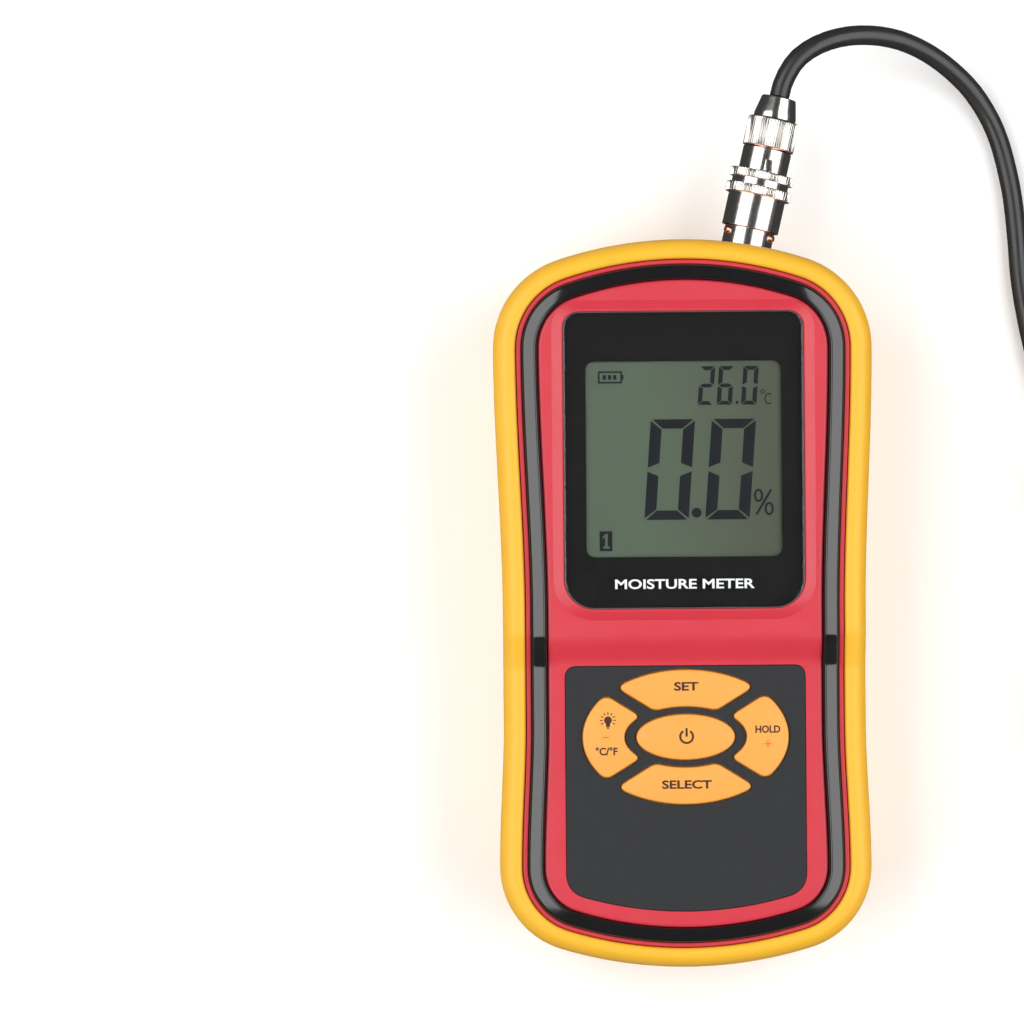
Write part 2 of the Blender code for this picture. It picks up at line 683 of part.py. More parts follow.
def make_battery_door():
    """Sliding door: a plate with four L-shaped hooks that reach through the rear case."""
    bm = bmesh.new()
    add_prism(bm, rounded_box(DOOR_HALF_WIDTH, *DOOR_Y, 3 * MM, 3 * MM, 4), *DOOR_Z)
    door = make_object("battery_door", bm, "case_red")
    bm = bmesh.new()
    for side in (-1, 1):
        for y in hook_places():
            foot_z = CASE_FLOOR_Z + GAP
            low, high = sorted((side * 18.8 * MM, side * 20.4 * MM))
            outline = [(y, 1.5 * MM), (y + 3 * MM, 1.5 * MM), (y + 3 * MM, foot_z), (y + 5 * MM, foot_z),
                       (y + 5 * MM, foot_z + 1 * MM), (y, foot_z + 1 * MM)]
            add_loft(bm, [[Vector((x, a, b)) for a, b in outline] for x in (low, high)])
    boolean(door, make_tool("join_door_hooks", bm), "UNION")
    bm = bmesh.new()
    for i in range(5):
        y = DOOR_Y[0] + (5 + 2.2 * i) * MM
        add_box(bm, (-8 * MM, 8 * MM), (y, y + 1.0 * MM), (0, 1.1 * MM))
    boolean(door, make_tool("cut_door_grip", bm))
    return door


def make_trim_ring():
    """Gloss black trim laid in the groove round the front."""
    profile = [
        (GROOVE_OUTER_INSET + SEAM, GROOVE_Z + SEAM), (GROOVE_OUTER_INSET + SEAM, RIM_Z + 0.2 * MM),
        (GROOVE_OUTER_INSET + 0.7 * MM, TRIM_CREST_Z - 0.35 * MM), (7.3 * MM, TRIM_CREST_Z),
        (GROOVE_INNER_INSET - 0.7 * MM, TRIM_CREST_Z - 0.35 * MM),
        (GROOVE_INNER_INSET - SEAM, FACE_Z), (GROOVE_INNER_INSET - SEAM, GROOVE_Z + SEAM),
    ]
    bm = bmesh.new()
    add_loft(bm, [stepped(meter_outline(inset), z) for inset, z in profile], ring=True)
    return make_object("trim_ring", bm, "gloss_black")


def make_display():
    """Window, its printed mask, the liquid-crystal glass and the backlight behind it."""
    lens_foot = LENS_TOP_Z - LENS_THICKNESS
    bm = bmesh.new()
    add_prism(bm, lens_outline(), lens_foot, LENS_TOP_Z)
    make_object("display_window", bm, "clear_window")
    bm = bmesh.new()
    add_prism(bm, lens_outline(), lens_foot - MASK_THICKNESS - 0.1 * MM, lens_foot - 0.1 * MM)
    mask = make_object("window_mask", bm, "gloss_black")
    bm = bmesh.new()
    opening = rounded_box(GLASS_HALF, GLASS_CENTRE_Y - GLASS_HALF, GLASS_CENTRE_Y + GLASS_HALF,
                          GLASS_RADIUS, GLASS_RADIUS, 4)
    add_prism(bm, opening, 30 * MM, 45 * MM)
    boolean(mask, make_tool("cut_mask", bm))
    for name, half, low, high, colour in (
        ("lcd_glass", 24.0 * MM, 33.5 * MM, 36.0 * MM, "lcd_grey"),
        ("backlight", 23.5 * MM, 30.1 * MM, 33.2 * MM, "diffuser_white"),
    ):
        bm = bmesh.new()
        add_box(bm, (-half, half), (GLASS_CENTRE_Y - half, GLASS_CENTRE_Y + half), (low, high))
        make_object(name, bm, colour)


def make_keypad():
    """Keypad panel with its apertures, five keys and the dome switch under each."""
    bm = bmesh.new()
    add_prism(bm, panel_outline(), PANEL_TOP_Z - PANEL_THICKNESS, PANEL_TOP_Z)
    panel = make_object("keypad_panel", bm, "panel_grey")
    cutter = bmesh.new()
    for name, outline in key_outlines().items():
        add_prism(cutter, grown(outline, 0.25 * MM), 30 * MM, 40 * MM)
        middle = sum((Vector(p) for p in outline), Vector((0, 0))) / len(outline)
        flange_z = PANEL_TOP_Z - PANEL_THICKNESS - 0.4 * MM
        levels = [
            (-0.45 * MM, KEY_FOOT_Z), (-0.45 * MM, flange_z - 0.8 * MM), (0.45 * MM, flange_z - 0.8 * MM),
            (0.45 * MM, flange_z), (0.0, flange_z), (0.0, KEY_TOP_Z - 0.35 * MM), (-0.4 * MM, KEY_TOP_Z),
        ]
        local = [(x - middle.x, y - middle.y) for x, y in outline]
        bm = bmesh.new()
        add_loft(bm, [at_height(grown(local, distance), z) for distance, z in levels])
        key = make_object(name, bm, "key_amber")
        key.location = (middle.x, middle.y, 0)
        bm = bmesh.new()
        foot = BOARD_Z[1] + 0.1 * MM
        add_turned(bm, [(0, foot), (2.2 * MM, foot), (1.7 * MM, foot + 0.5 * MM), (0, foot + 0.7 * MM)], 10)
        dome = make_object(name.replace("key", "dome"), bm, "steel")
        dome.location = (middle.x, middle.y, 0)
    boolean(panel, make_tool("cut_key_apertures", cutter))


def make_electronics():
    """Circuit board, its controller and buzzer, three cells and their contacts."""
    bm = bmesh.new()
    add_prism(bm, rounded_box(24.5 * MM, -61 * MM, 60 * MM, 2 * MM, 2 * MM, 2), *BOARD_Z)
    make_object("main_board", bm, "board_green")
    under = BOARD_Z[0] - 0.1 * MM
    bm = bmesh.new()
    add_box(bm, (-6 * MM, 6 * MM), (14 * MM, 26 * MM), (under - 1.6 * MM, under))
    make_object("controller_chip", bm, "black_plastic")
    bm = bmesh.new()
    add_cylinder(bm, (-14 * MM, 40 * MM), 6 * MM, (under - 6 * MM, under), 20)
    make_object("buzzer", bm, "black_plastic")
    cell_radius, cell_length = 5.2 * MM, 44.0 * MM
    cell_z = DOOR_Z[1] + 1.0 * MM + cell_radius
    body = [(0, 0), (3.6 * MM, 0), (cell_radius, 0.8 * MM), (cell_radius, cell_length - 1.4 * MM),
            (4.2 * MM, cell_length - 0.6 * MM), (1.9 * MM, cell_length - 0.6 * MM),
            (1.9 * MM, cell_length + 0.6 * MM), (0, cell_length + 0.6 * MM)]
    for i in range(3):
        cell = turned(f"battery_{i + 1}", body, "battery_wrap", None, 16)
        way = 1 if i % 2 else -1
        cell.rotation_euler = (-way * math.pi / 2, 0, 0)
        middle_y = (BAY_Y[0] + BAY_Y[1]) / 2
        cell.location = ((i - 1) * 11.2 * MM, middle_y - way * cell_length / 2, cell_z)
    for name, y in (("contact_plate_upper", BAY_Y[1] - 0.8 * MM), ("contact_plate_lower", BAY_Y[0] + 0.3 * MM)):
        bm = bmesh.new()
        add_box(bm, (-16.5 * MM, 16.5 * MM), (y, y + 0.5 * MM), (5 * MM, 13 * MM))
        make_object(name, bm, "nickel")


def make_case_screws():
    head = [(0, 4.6 * MM), (2.5 * MM, 4.6 * MM), (2.5 * MM, 6.8 * MM), (1.3 * MM, 6.8 * MM),
            (1.3 * MM, 25 * MM), (0, 26 * MM)]
    for i, (x, y) in enumerate(POSTS):
        screw = turned(f"case_screw_{i + 1}", head, "screw_steel", None, 12)
        screw.location = (x, y, 0)


def make_socket(connector):
    """Panel socket in the meter's end: barrel with three lugs, nut, insulator and centre contact."""
    barrel = [
        (3.0, -11.5), (4.7, -11.5), (4.7, -2.5), (5.55, -2.5), (5.55, 9.4), (5.3, 9.8), (4.5, 9.8),
        (4.5, 1.0), (3.0, 1.0),
    ]
    obj = turned("socket_barrel", [(r * MM, s * MM) for r, s in barrel], "nickel", connector, 24)
    bm = bmesh.new()
    for i in range(3):
        lug = bmesh.ops.create_cone(bm, cap_ends=True, segments=10, radius1=0.85 * MM, radius2=0.7 * MM,
                                    depth=2.0 * MM)
        turn = Matrix.Rotation(math.radians(-90 + 60 + 120 * i), 4, "Z")
        place = Matrix.Translation((5.35 * MM, 0, 2.1 * MM)) @ Matrix.Rotation(math.pi / 2, 4, "Y")
        bmesh.ops.transform(bm, matrix=turn @ place, verts=lug["verts"])
    boolean(obj, make_tool("join_socket_lugs", bm, connector), "UNION")
    turned("socket_nut", [(r * MM, s * MM) for r, s in tube_profile(5.6, 7.4, -9.6, -7.2)],
           "nickel", connector, 6)
    turned("socket_insulator", [(r * MM, s * MM) for r, s in tube_profile(0.95, 2.75, -10.5, 3.0)],
           "insulator_white", connector, 16)
    turned("socket_contact", [(r * MM, s * MM) for r, s in rod_profile(0.7, -13.0, 7.0, 0.3)],
           "brass", connector, 10)


# ---------------------------------------------------------------- plug and lead


def make_plug(connector):
    """Plug on the lead: body, turning sleeve, insulator, knurled clamp nut and split cable clamp."""
    body = [
        (3.0, 4.2), (4.2, 4.2), (4.2, 10.3), (5.4, 10.3), (5.4, 21.4), (3.7, 21.4), (3.7, 26.5),
        (2.6, 26.5), (2.6, 12.0), (3.0, 12.0),
    ]
    turned("plug_body", [(r * MM, s * MM) for r, s in body], "nickel", connector, 24)
    sleeve = [
        (5.85, 3.4), (6.35, 3.4), (6.35, 10.8), (7.35, 10.8), (7.35, 12.9), (6.3, 12.9), (6.3, 14.3),
        (7.15, 14.3), (7.15, 16.2), (5.85, 16.2),
    ]
    turned("coupling_sleeve", [(r * MM, s * MM) for r, s in sleeve], "nickel", connector, 32)
    turned("plug_insulator", [(r * MM, s * MM) for r, s in tube_profile(1.0, 2.7, 4.6, 11.4)],
           "insulator_white", connector, 16)
    nut = [(4.0, 21.7), (5.8, 21.7), (5.8, 28.2), (2.9, 28.2), (2.9, 26.9), (4.0, 26.9)]
    turned("clamp_nut", [(r * MM, s * MM) for r, s in nut], "nickel", connector, 24)
    clamp = [(2.5, 28.5), (4.75, 28.5), (4.6, 29.4), (3.8, 33.2), (2.5, 33.2)]
    turned("cable_clamp", [(r * MM, s * MM) for r, s in clamp], "nickel", connector, 20)


def smooth_route(points, spacing):
    """Points about spacing apart on a smooth curve through the route's own points."""
    places = [Vector(p) for p in points]
    ends = [places[0] * 2 - places[1]] + places + [places[-1] * 2 - places[-2]]
    fine = []
    per_span = 24
    for before, start, end, after in zip(ends, ends[1:], ends[2:], ends[3:]):
        for k in range(per_span):
            t = k / per_span
            fine.append(0.5 * (2 * start + (end - before) * t
                               + (2 * before - 5 * start + 4 * end - after) * t * t
                               + (3 * start - before - 3 * end + after) * t ** 3))
    fine.append(places[-1])
    total = sum((b - a).length for a, b in zip(fine, fine[1:]))
    count = max(2, round(total / spacing))
    made, walked, wanted = [fine[0]], 0.0, total / count
    for a, b in zip(fine, fine[1:]):
        walked += (b - a).length
        if walked >= wanted * len(made) and len(made) < count:
            made.append(b)
    return made + [fine[-1]]


def make_tube(name, route, radius, colour, spacing, resolution=2):
    """A cord or wire: a poly curve with a round section and closed ends."""
    curve = bpy.data.curves.new(name, "CURVE")
    curve.dimensions = "3D"
    curve.bevel_depth = radius
    curve.bevel_resolution = resolution
    curve.use_fill_caps = True
    points = smooth_route(route, spacing)
    spline = curve.splines.new("POLY")
    spline.points.add(len(points) - 1)
    for target, place in zip(spline.points, points):
        target.co = (*place, 1.0)
    curve.materials.append(material(colour))
    obj = bpy.data.objects.new(name, curve)
    bpy.context.scene.collection.objects.link(obj)
    return obj


def near_route():
    """The lead from the plug, over the surface, to the hank. Its first points are on the plug's axis."""
    start = connector_matrix() @ Vector((0, 0, 33.5 * MM))
    free = [
        (23.6, 116.0, 19.9), (26.6, 120.6, 19.7), (31.4, 123.8, 19.0), (37.2, 125.6, 17.6), (43.2, 126.0, 15.8),
        (48.9, 125.3, 13.4), (54.0, 123.6, 10.9), (58.5, 121.2, 8.6), (62.5, 118.3, 6.5), (66.2, 114.8, 4.7),
        (69.3, 110.6, 3.4), (71.8, 105.9, 2.6), (73.8, 100.0, 2.25), (75.7, 91.0, 2.25), (76.7, 81.5, 2.25),
        (77.4, 72.0, 2.25), (78.8, 63.0, 2.25), (80.8, 54.0, 2.25), (83.3, 45.0, 2.25), (86.0, 36.5, 2.25),
    ]
    return [start] + [Vector(p) * MM for p in free]


def far_route():
    """The lead from the top of the hank, down to the surface, and round into the probe's strain relief."""
    end = probe_matrix() @ Vector((0, 0, HANDLE_LENGTH + RELIEF_LENGTH + GAP))
    free = [
        (117.3, 41.0, 13.0), (116.6, 54.0, 10.6), (114.4, 67.0, 7.4), (111.3, 80.0, 4.6), (108.6, 93.0, 2.9),
        (107.0, 106.0, 2.3), (106.4, 119.0, 2.25), (106.6, 131.0, 2.3), (107.8, 143.0, 2.8), (111.2, 154.0, 4.2),
        (117.2, 163.0, 7.4), (125.2, 168.6, 12.0), (134.2, 169.4, 16.8), (142.2, 165.4, 20.7), (147.6, 158.2, 23.0),
        (149.8, 151.0, 23.9),
    ]
    return [Vector(p) * MM for p in free] + [end]


def hank_outline():
    """Outline of the tied hank: two round lobes drawn in to a waist."""
    lobe_y = HANK_HALF_LENGTH - HANK_LOBE_RADIUS
    waist = [(HANK_WAIST, -5.0 * MM), (HANK_WAIST, 5.0 * MM)]
    upper = arc((0, lobe_y), HANK_LOBE_RADIUS, -HANK_SWING, math.pi + HANK_SWING, 14)
    upper.append((HANK_LOBE_RADIUS * math.cos(math.pi + HANK_SWING),
                  lobe_y + HANK_LOBE_RADIUS * math.sin(math.pi + HANK_SWING)))
    lower = [(-x, -y) for x, y in upper]
    outline = waist + upper + [(-x, -y) for x, y in waist] + lower
    return [(x + HANK_CENTRE.x, y + HANK_CENTRE.y) for x, y in outline]


def make_hank():
    """The hank's closed solid, notched underneath for its tie, and the tie round it."""
    bm = bmesh.new()
    add_prism(bm, hank_outline(), REST_LIFT, HANK_HEIGHT)
    hank = make_object("cord_hank", bm, "cord_black")
    notch = TIE_THICKNESS + REST_LIFT + 2 * GAP
    half_y = TIE_HALF_WIDTH + GAP
    x, y = HANK_CENTRE
    bm = bmesh.new()
    add_box(bm, (x - 20 * MM, x + 20 * MM), (y - half_y, y + half_y), (-2 * MM, notch))
    boolean(hank, make_tool("cut_hank_notch", bm))
    inner_x = HANK_WAIST + GAP
    low, high = REST_LIFT, HANK_HEIGHT + GAP + TIE_THICKNESS
    inner = rounded_box(inner_x, low + TIE_THICKNESS, high - TIE_THICKNESS, 0.4 * MM, 0.4 * MM, 3)
    outer = grown(inner, TIE_THICKNESS - 0.05 * MM)
    loops = []
    for side, shape in ((-1, inner), (1, inner), (1, outer), (-1, outer)):
        loops.append([Vector((x + a, y + side * TIE_HALF_WIDTH, b)) for a, b in shape])
    bm = bmesh.new()
    add_loft(bm, loops, ring=True)
    make_object("hank_tie", bm, "black_plastic")


# ---------------------------------------------------------------- probe


def probe_matrix():
    """Local Z along the probe towards its lead. The collar and the prongs' shoulders touch the surface."""
    reach = PRONG_LENGTH - CONE_LENGTH + COLLAR_AT
    tilt = math.asin((COLLAR_REACH - PRONG_RADIUS) / reach)
    axis = Vector((0, math.cos(tilt), math.sin(tilt)))
    right = Vector((1, 0, 0))
    turn = Matrix((right, axis.cross(right), axis)).transposed()
    height = COLLAR_REACH * math.cos(tilt) - COLLAR_AT * math.sin(tilt) + REST_LIFT
    return Matrix.Translation((PROBE_X, PROBE_Y, height)) @ turn.to_4x4()


def handle_section():
    """Closed half section of the handle's wall, as (radius, height), with its finger grooves."""
    outer = [(12.4, 0.0), (17.0, 0.0), (17.6, 0.8), (17.6, 3.6), (16.9, 4.4), (17.1, 7.6), (16.9, 10.0),
             (15.9, 41.0)]
    for groove in (42.7, 53.2, 64.4, 75.5, 86.4):
        outer += [(15.3, groove - 1.0), (14.6, groove), (15.3, groove + 1.0)]
    outer += [(15.9, 89.5), (15.8, 106.5), (15.3, 107.5), (16.4, 109.0), (16.4, 112.2), (15.8, 113.0)]
    inner = [(5.2, 113.0), (5.2, 110.5), (12.4, 110.5)]
    return [(r * MM, s * MM) for r, s in outer + inner]


def make_handle(probe):
    """Two half shells that meet along the handle, with screw posts, and the two screws."""
    for name, up, turn in (("handle_shell_upper", 1, math.pi), ("handle_shell_lower", -1, 0.0)):
        bm = bmesh.new()
        add_turned(bm, handle_section(), 12, math.pi)
        bmesh.ops.transform(bm, matrix=Matrix.Rotation(turn, 4, "Z"), verts=bm.verts)
        bmesh.ops.translate(bm, vec=(0, -up * SEAM, 0), verts=bm.verts)
        shell = make_object(name, bm, "black_plastic", probe)
        posts, bores = bmesh.new(), bmesh.new()
        for place in HANDLE_SCREWS_AT:
            out = Matrix.Translation((0, 0, place)) @ Matrix.Rotation(up * math.pi / 2, 4, "X")
            for bm, profile in (
                (posts, rod_profile(3.8 * MM, SEAM, 13.2 * MM)),
                (bores, [(0, -2 * MM), (1.5 * MM, -2 * MM), (1.5 * MM, 6 * MM), (3.1 * MM, 6 * MM),
                         (3.1 * MM, 24 * MM), (0, 24 * MM)] if up > 0 else rod_profile(1.5 * MM, -2 * MM, 9 * MM)),
            ):
                piece = bmesh.new()
                add_turned(piece, profile, 14)
                bmesh.ops.transform(piece, matrix=out, verts=piece.verts)
                scratch = bpy.data.meshes.new("scratch")
                piece.to_mesh(scratch)
                piece.free()
                bm.from_mesh(scratch)
                bpy.data.meshes.remove(scratch)
        boolean(shell, make_tool("join_" + name, posts, probe), "UNION")
        boolean(shell, make_tool("cut_" + name, bores, probe))
    screw = [(0, 8.6 * MM), (2.4 * MM, 8.6 * MM), (2.4 * MM, 6.3 * MM), (1.25 * MM, 6.3 * MM),
             (1.25 * MM, -7 * MM), (0, -7.6 * MM)]
    for name, place in zip(("handle_screw_lower", "handle_screw_upper"), HANDLE_SCREWS_AT):
        obj = turned(name, screw, "screw_steel", probe, 12)
        obj.location = (0, 0, place)
        obj.rotation_euler = (math.pi / 2, 0, 0)


def make_prongs(probe):
    """Insulating block, two steel tubes held by nuts, and a solid point on each."""
    block = bmesh.new()
    add_turned(block, [(r * MM, s * MM) for r, s in ((0, -2.0), (11.3, -2.0), (11.8, -1.5), (11.8, 9.0), (0, 9.0))],
               28)
    block_obj = make_object("prong_block", block, "black_plastic", probe)
    bores = bmesh.new()
    tube_foot = TIP_LENGTH - PRONG_LENGTH + GAP
    for side, word in ((-1, "left"), (1, "right")):
        centre = (side * PRONG_SPACING / 2, 0)
        add_turned(bores, rod_profile(PRONG_RADIUS + 0.2 * MM, -9 * MM, 20 * MM), 20, centre=centre)
        turned(f"prong_{word}", tube_profile(2.5 * MM, PRONG_RADIUS, tube_foot, 13.2 * MM), "steel", probe,
               16, centre)
        turned(f"prong_tip_{word}",
               [(0, -PRONG_LENGTH), (0.35 * MM, 0.5 * MM - PRONG_LENGTH), (PRONG_RADIUS, CONE_LENGTH - PRONG_LENGTH),
                (PRONG_RADIUS, TIP_LENGTH - PRONG_LENGTH), (2.2 * MM, TIP_LENGTH - PRONG_LENGTH),
                (2.2 * MM, TIP_LENGTH + 8 * MM - PRONG_LENGTH), (0, TIP_LENGTH + 8 * MM - PRONG_LENGTH)],
               "steel", probe, 16, centre)
        turned(f"prong_nut_{word}", tube_profile(4.3 * MM, 5.4 * MM, 9.3 * MM, 12.3 * MM),
               "nickel", probe, 6, centre)
        x = side * PRONG_SPACING / 2
        y = -side * 0.5 * MM
        route = [(side * 5.2 * MM, 0, 13.8 * MM), (side * 5.6 * MM, y, 40 * MM), (side * 5.4 * MM, y, 70 * MM),
                 (side * 5.5 * MM, y, 100.6 * MM), (side * 1.5 * MM, y, 104.8 * MM), (side * 1.1 * MM, 0, 108 * MM)]
        wire = make_tube(f"handle_wire_{word}", route, 0.7 * MM, "case_red" if side > 0 else "cord_black",
                         8 * MM, 1)
        wire.parent = probe
    boolean(block_obj, make_tool("cut_prong_block", bores, probe))


def make_relief(probe):
    """Ribbed strain relief where the lead enters the handle."""
    section = [(2.5, 109.0), (3.8, 106.0), (6.6, 106.0), (6.6, 110.2), (4.9, 110.2), (4.9, 113.3), (5.2, 114.0)]
    for i in range(4):
        radius = 5.0 - 0.55 * i
        at = 114.6 + 2.6 * i
        section += [(radius, at), (radius, at + 1.2), (radius - 1.0, at + 1.5), (radius - 1.1, at + 2.3)]
    section += [(3.1, 125.0), (2.5, 125.0)]
    turned("strain_relief", [(r * MM, s * MM) for r, s in section], "cord_black", probe, 16)


def main():
    clear_scene()
    connector = empty("connector_axis", connector_matrix())
    probe = empty("probe_axis", probe_matrix())
    make_boot(connector)
    make_front_case(connector)
    make_rear_case()
    make_battery_door()
    make_trim_ring()
    make_display()
    make_keypad()
    make_electronics()
    make_case_screws()
    make_socket(connector)
    make_plug(connector)
    make_tube("cord_near", near_route(), CORD_RADIUS, "cord_black", CORD_POINT_SPACING)
    make_tube("cord_far", far_route(), CORD_RADIUS, "cord_black", CORD_POINT_SPACING)
    make_hank()
    make_handle(probe)
    make_prongs(probe)
    make_relief(probe)


main()
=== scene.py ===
"""Looks of the hand-held grain moisture meter, its tied lead and its two-prong probe.

Everything is in metres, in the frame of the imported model: +X is to the right of the display, +Y is
towards the socket end and +Z is up, out of the display. Run it with: blender --background --python scene.py
"""

import json
import math

import bmesh
import bpy
from mathutils import Matrix, Vector


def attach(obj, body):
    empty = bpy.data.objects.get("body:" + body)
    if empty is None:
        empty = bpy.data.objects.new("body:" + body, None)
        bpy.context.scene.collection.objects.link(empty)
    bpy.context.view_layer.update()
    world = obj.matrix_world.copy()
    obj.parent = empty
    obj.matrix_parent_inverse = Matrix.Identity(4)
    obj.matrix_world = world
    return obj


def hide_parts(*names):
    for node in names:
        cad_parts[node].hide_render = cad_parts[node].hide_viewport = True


MM = 0.001
EPS = 1e-9
QUARTER = math.pi / 2

# Outline of the rubber boot, seen from the front
METER_LENGTH = 160.0 * MM
TOP_HALF_WIDTH = 41.6 * MM
FOOT_HALF_WIDTH = 40.9 * MM
WAIST_HALF_WIDTH = 39.85 * MM
TOP_CROWN_RADIUS = 88.0 * MM
FOOT_CROWN_RADIUS = 94.0 * MM
TOP_CORNER_RADIUS = 20.5 * MM
FOOT_CORNER_RADIUS = 18.9 * MM
WAIST_TOP_Y = -2.0 * MM
WAIST_FOOT_Y = -26.0 * MM
CROWN_STEPS = 14
CORNER_STEPS = 16
SIDE_GAIN = 0.11

# The front drops from the display zone to the keypad zone along a ramp
RAMP_TOP_Y = -6.3 * MM
RAMP_FOOT_Y = -14.2 * MM
FRONT_STEP = 2.6 * MM

# Display
LENS_HALF_WIDTH = 26.3 * MM
LENS_TOP_Y = 64.0 * MM
LENS_FOOT_Y = -1.0 * MM
LENS_TOP_RADIUS = 3.5 * MM
LENS_FOOT_RADIUS = 6.6 * MM
LENS_TOP_Z = 38.1 * MM
LENS_THICKNESS = 1.5 * MM
LCD_TOP_Z = 36.0 * MM
GLASS_HALF = 21.4 * MM
GLASS_CENTRE_Y = 31.7 * MM

# Keypad
PANEL_HALF_WIDTH = 26.3 * MM
PANEL_TOP_Y = -13.6 * MM
PANEL_SIDE_FOOT_Y = -63.0 * MM
PANEL_FOOT_Y = -67.4 * MM
PANEL_TOP_Z = 34.7 * MM
PANEL_THICKNESS = 0.9 * MM
KEYS_CENTRE_Y = -29.2 * MM
KEY_OUTER = (22.6 * MM, 14.75 * MM)
KEY_INNER = (13.4 * MM, 6.65 * MM)
POWER_KEY = (10.8 * MM, 5.0 * MM)
KEY_SECTOR_ANGLE = math.radians(31.8)
KEY_HALF_GAP = 1.33 * MM
KEY_TOP_Z = 35.4 * MM
KEY_FOOT_Z = 31.8 * MM
INK_THICKNESS = 0.03 * MM

# Socket and plug, along an axis that leans to the right of +Y
SOCKET_AT = Vector((14.9, 79.5, 20.0)) * MM
SOCKET_LEAN = math.radians(13.0)

# Instrument lead and its tied hank
CORD_DIAMETER = 4.4 * MM
CORD_SPACING = 2.5 * MM
HANK_CENTRE = Vector((103.0, 0.0)) * MM
STRAND_OFFSET = 2.4 * MM
STRAND_RISE = 2.28 * MM
STRAND_FOOT_Z = 2.3 * MM
LOBE_SWING = math.radians(48)
LOBE_RADII = (14.0 * MM, 13.4 * MM, 14.2 * MM, 13.6 * MM, 13.8 * MM)
WAIST_STRAIGHT = 3.0 * MM
WAIST_BEND = 14.0 * MM

# Probe, along its own axis: zero is the handle's prong end
HANDLE_LENGTH = 113.0 * MM
COLLAR_AT = 2.0 * MM
COLLAR_REACH = 17.75 * MM
PRONG_RADIUS = 3.5 * MM
PRONG_LENGTH = 293.0 * MM
PRONG_SPACING = 13.0 * MM
TIP_LENGTH = 27.6 * MM
CONE_LENGTH = 16.0 * MM
PROBE_X = 150.0 * MM
PROBE_Y = 22.0 * MM
RELIEF_LENGTH = 12.0 * MM
HANDLE_SCREWS_AT = (18.3 * MM, 96.4 * MM)

# Studio: lengths in metres, powers in watts, the camera's lens and sensor in millimetres
CAMERA_AT = (-0.03766, 0.02038, 1.133)
CAMERA_ROLL = math.radians(-0.45)
CAMERA_LENS = 176.2
CAMERA_SENSOR = 36.0
SOFTBOX_SIZE = (0.9, 1.25)
SOFTBOX_POWER = 9.6
LIGHT_TARGET = Vector((0, 0.05, 0))
FLOOR_HALF = 3.0
ACRYLIC_IOR = 1.49


# ---------------------------------------------------------------- materials


def srgb(red, green, blue):
    """The linear colour of an 8-bit display colour."""
    def linear(value):
        share = value / 255
        return share / 12.92 if share <= 0.04045 else ((share + 0.055) / 1.055) ** 2.4
    return linear(red), linear(green), linear(blue)


def scaled(colour, factor):
    return (*(min(1.0, c * factor) for c in colour), 1.0)


def noise(tree, size, detail=3.0, stretch=(1, 1, 1)):
    """Noise with features about size across, fixed to the piece."""
    place = tree.nodes.new("ShaderNodeTexCoord")
    mapping = tree.nodes.new("ShaderNodeMapping")
    mapping.inputs["Scale"].default_value = stretch
    texture = tree.nodes.new("ShaderNodeTexNoise")
    texture.inputs["Scale"].default_value = 1 / size
    texture.inputs["Detail"].default_value = detail
    tree.links.new(place.outputs["Object"], mapping.inputs["Vector"])
    tree.links.new(mapping.outputs["Vector"], texture.inputs["Vector"])
    return texture.outputs["Fac"]


def ranged(tree, value, low, high, start=0.3, end=0.7):
    """A value moved from start..end to low..high."""
    node = tree.nodes.new("ShaderNodeMapRange")
    node.inputs["From Min"].default_value = start
    node.inputs["From Max"].default_value = end
    node.inputs["To Min"].default_value = low
    node.inputs["To Max"].default_value = high
    tree.links.new(value, node.inputs["Value"])
    return node.outputs["Result"]


def blended(tree, share, first, second):
    node = tree.nodes.new("ShaderNodeMix")
    node.data_type = "RGBA"
    tree.links.new(share, node.inputs["Factor"])
    for socket, colour in ((6, first), (7, second)):
        node.inputs[socket].default_value = colour
    return node.outputs[2]


def bumped(tree, shader, height, distance):
    node = tree.nodes.new("ShaderNodeBump")
    node.inputs["Distance"].default_value = distance
    tree.links.new(height, node.inputs["Height"])
    tree.links.new(node.outputs["Normal"], shader.inputs["Normal"])


def new_material(name, sockets):
    """A material with some of its shader's sockets set, its node tree and its shader."""
    made = bpy.data.materials.new("look_" + name)
    made.use_nodes = True
    shader = made.node_tree.nodes["Principled BSDF"]
    for socket, value in sockets.items():
        shader.inputs[socket.replace("_", " ")].default_value = value
    return made, made.node_tree, shader


def surface(name, colour, roughness, mottle=0.05, mottle_size=14 * MM, gloss_change=0.12,
            grain_size=0.0, grain_height=0.0, stretch=(1, 1, 1), **sockets):
    """A procedural material: colour and gloss that vary a little, and a fine moulded or brushed grain."""
    made, tree, shader = new_material(name, sockets)
    patches = noise(tree, mottle_size, stretch=stretch)
    shades = blended(tree, patches, scaled(colour, 1 - mottle), scaled(colour, 1 + mottle))
    tree.links.new(shades, shader.inputs["Base Color"])
    smears = noise(tree, mottle_size * 0.4, detail=5.0, stretch=stretch)
    gloss = ranged(tree, smears, roughness * (1 - gloss_change), roughness * (1 + gloss_change))
    tree.links.new(gloss, shader.inputs["Roughness"])
    if grain_size:
        bumped(tree, shader, noise(tree, grain_size, 2.0, stretch), grain_height)
    return made


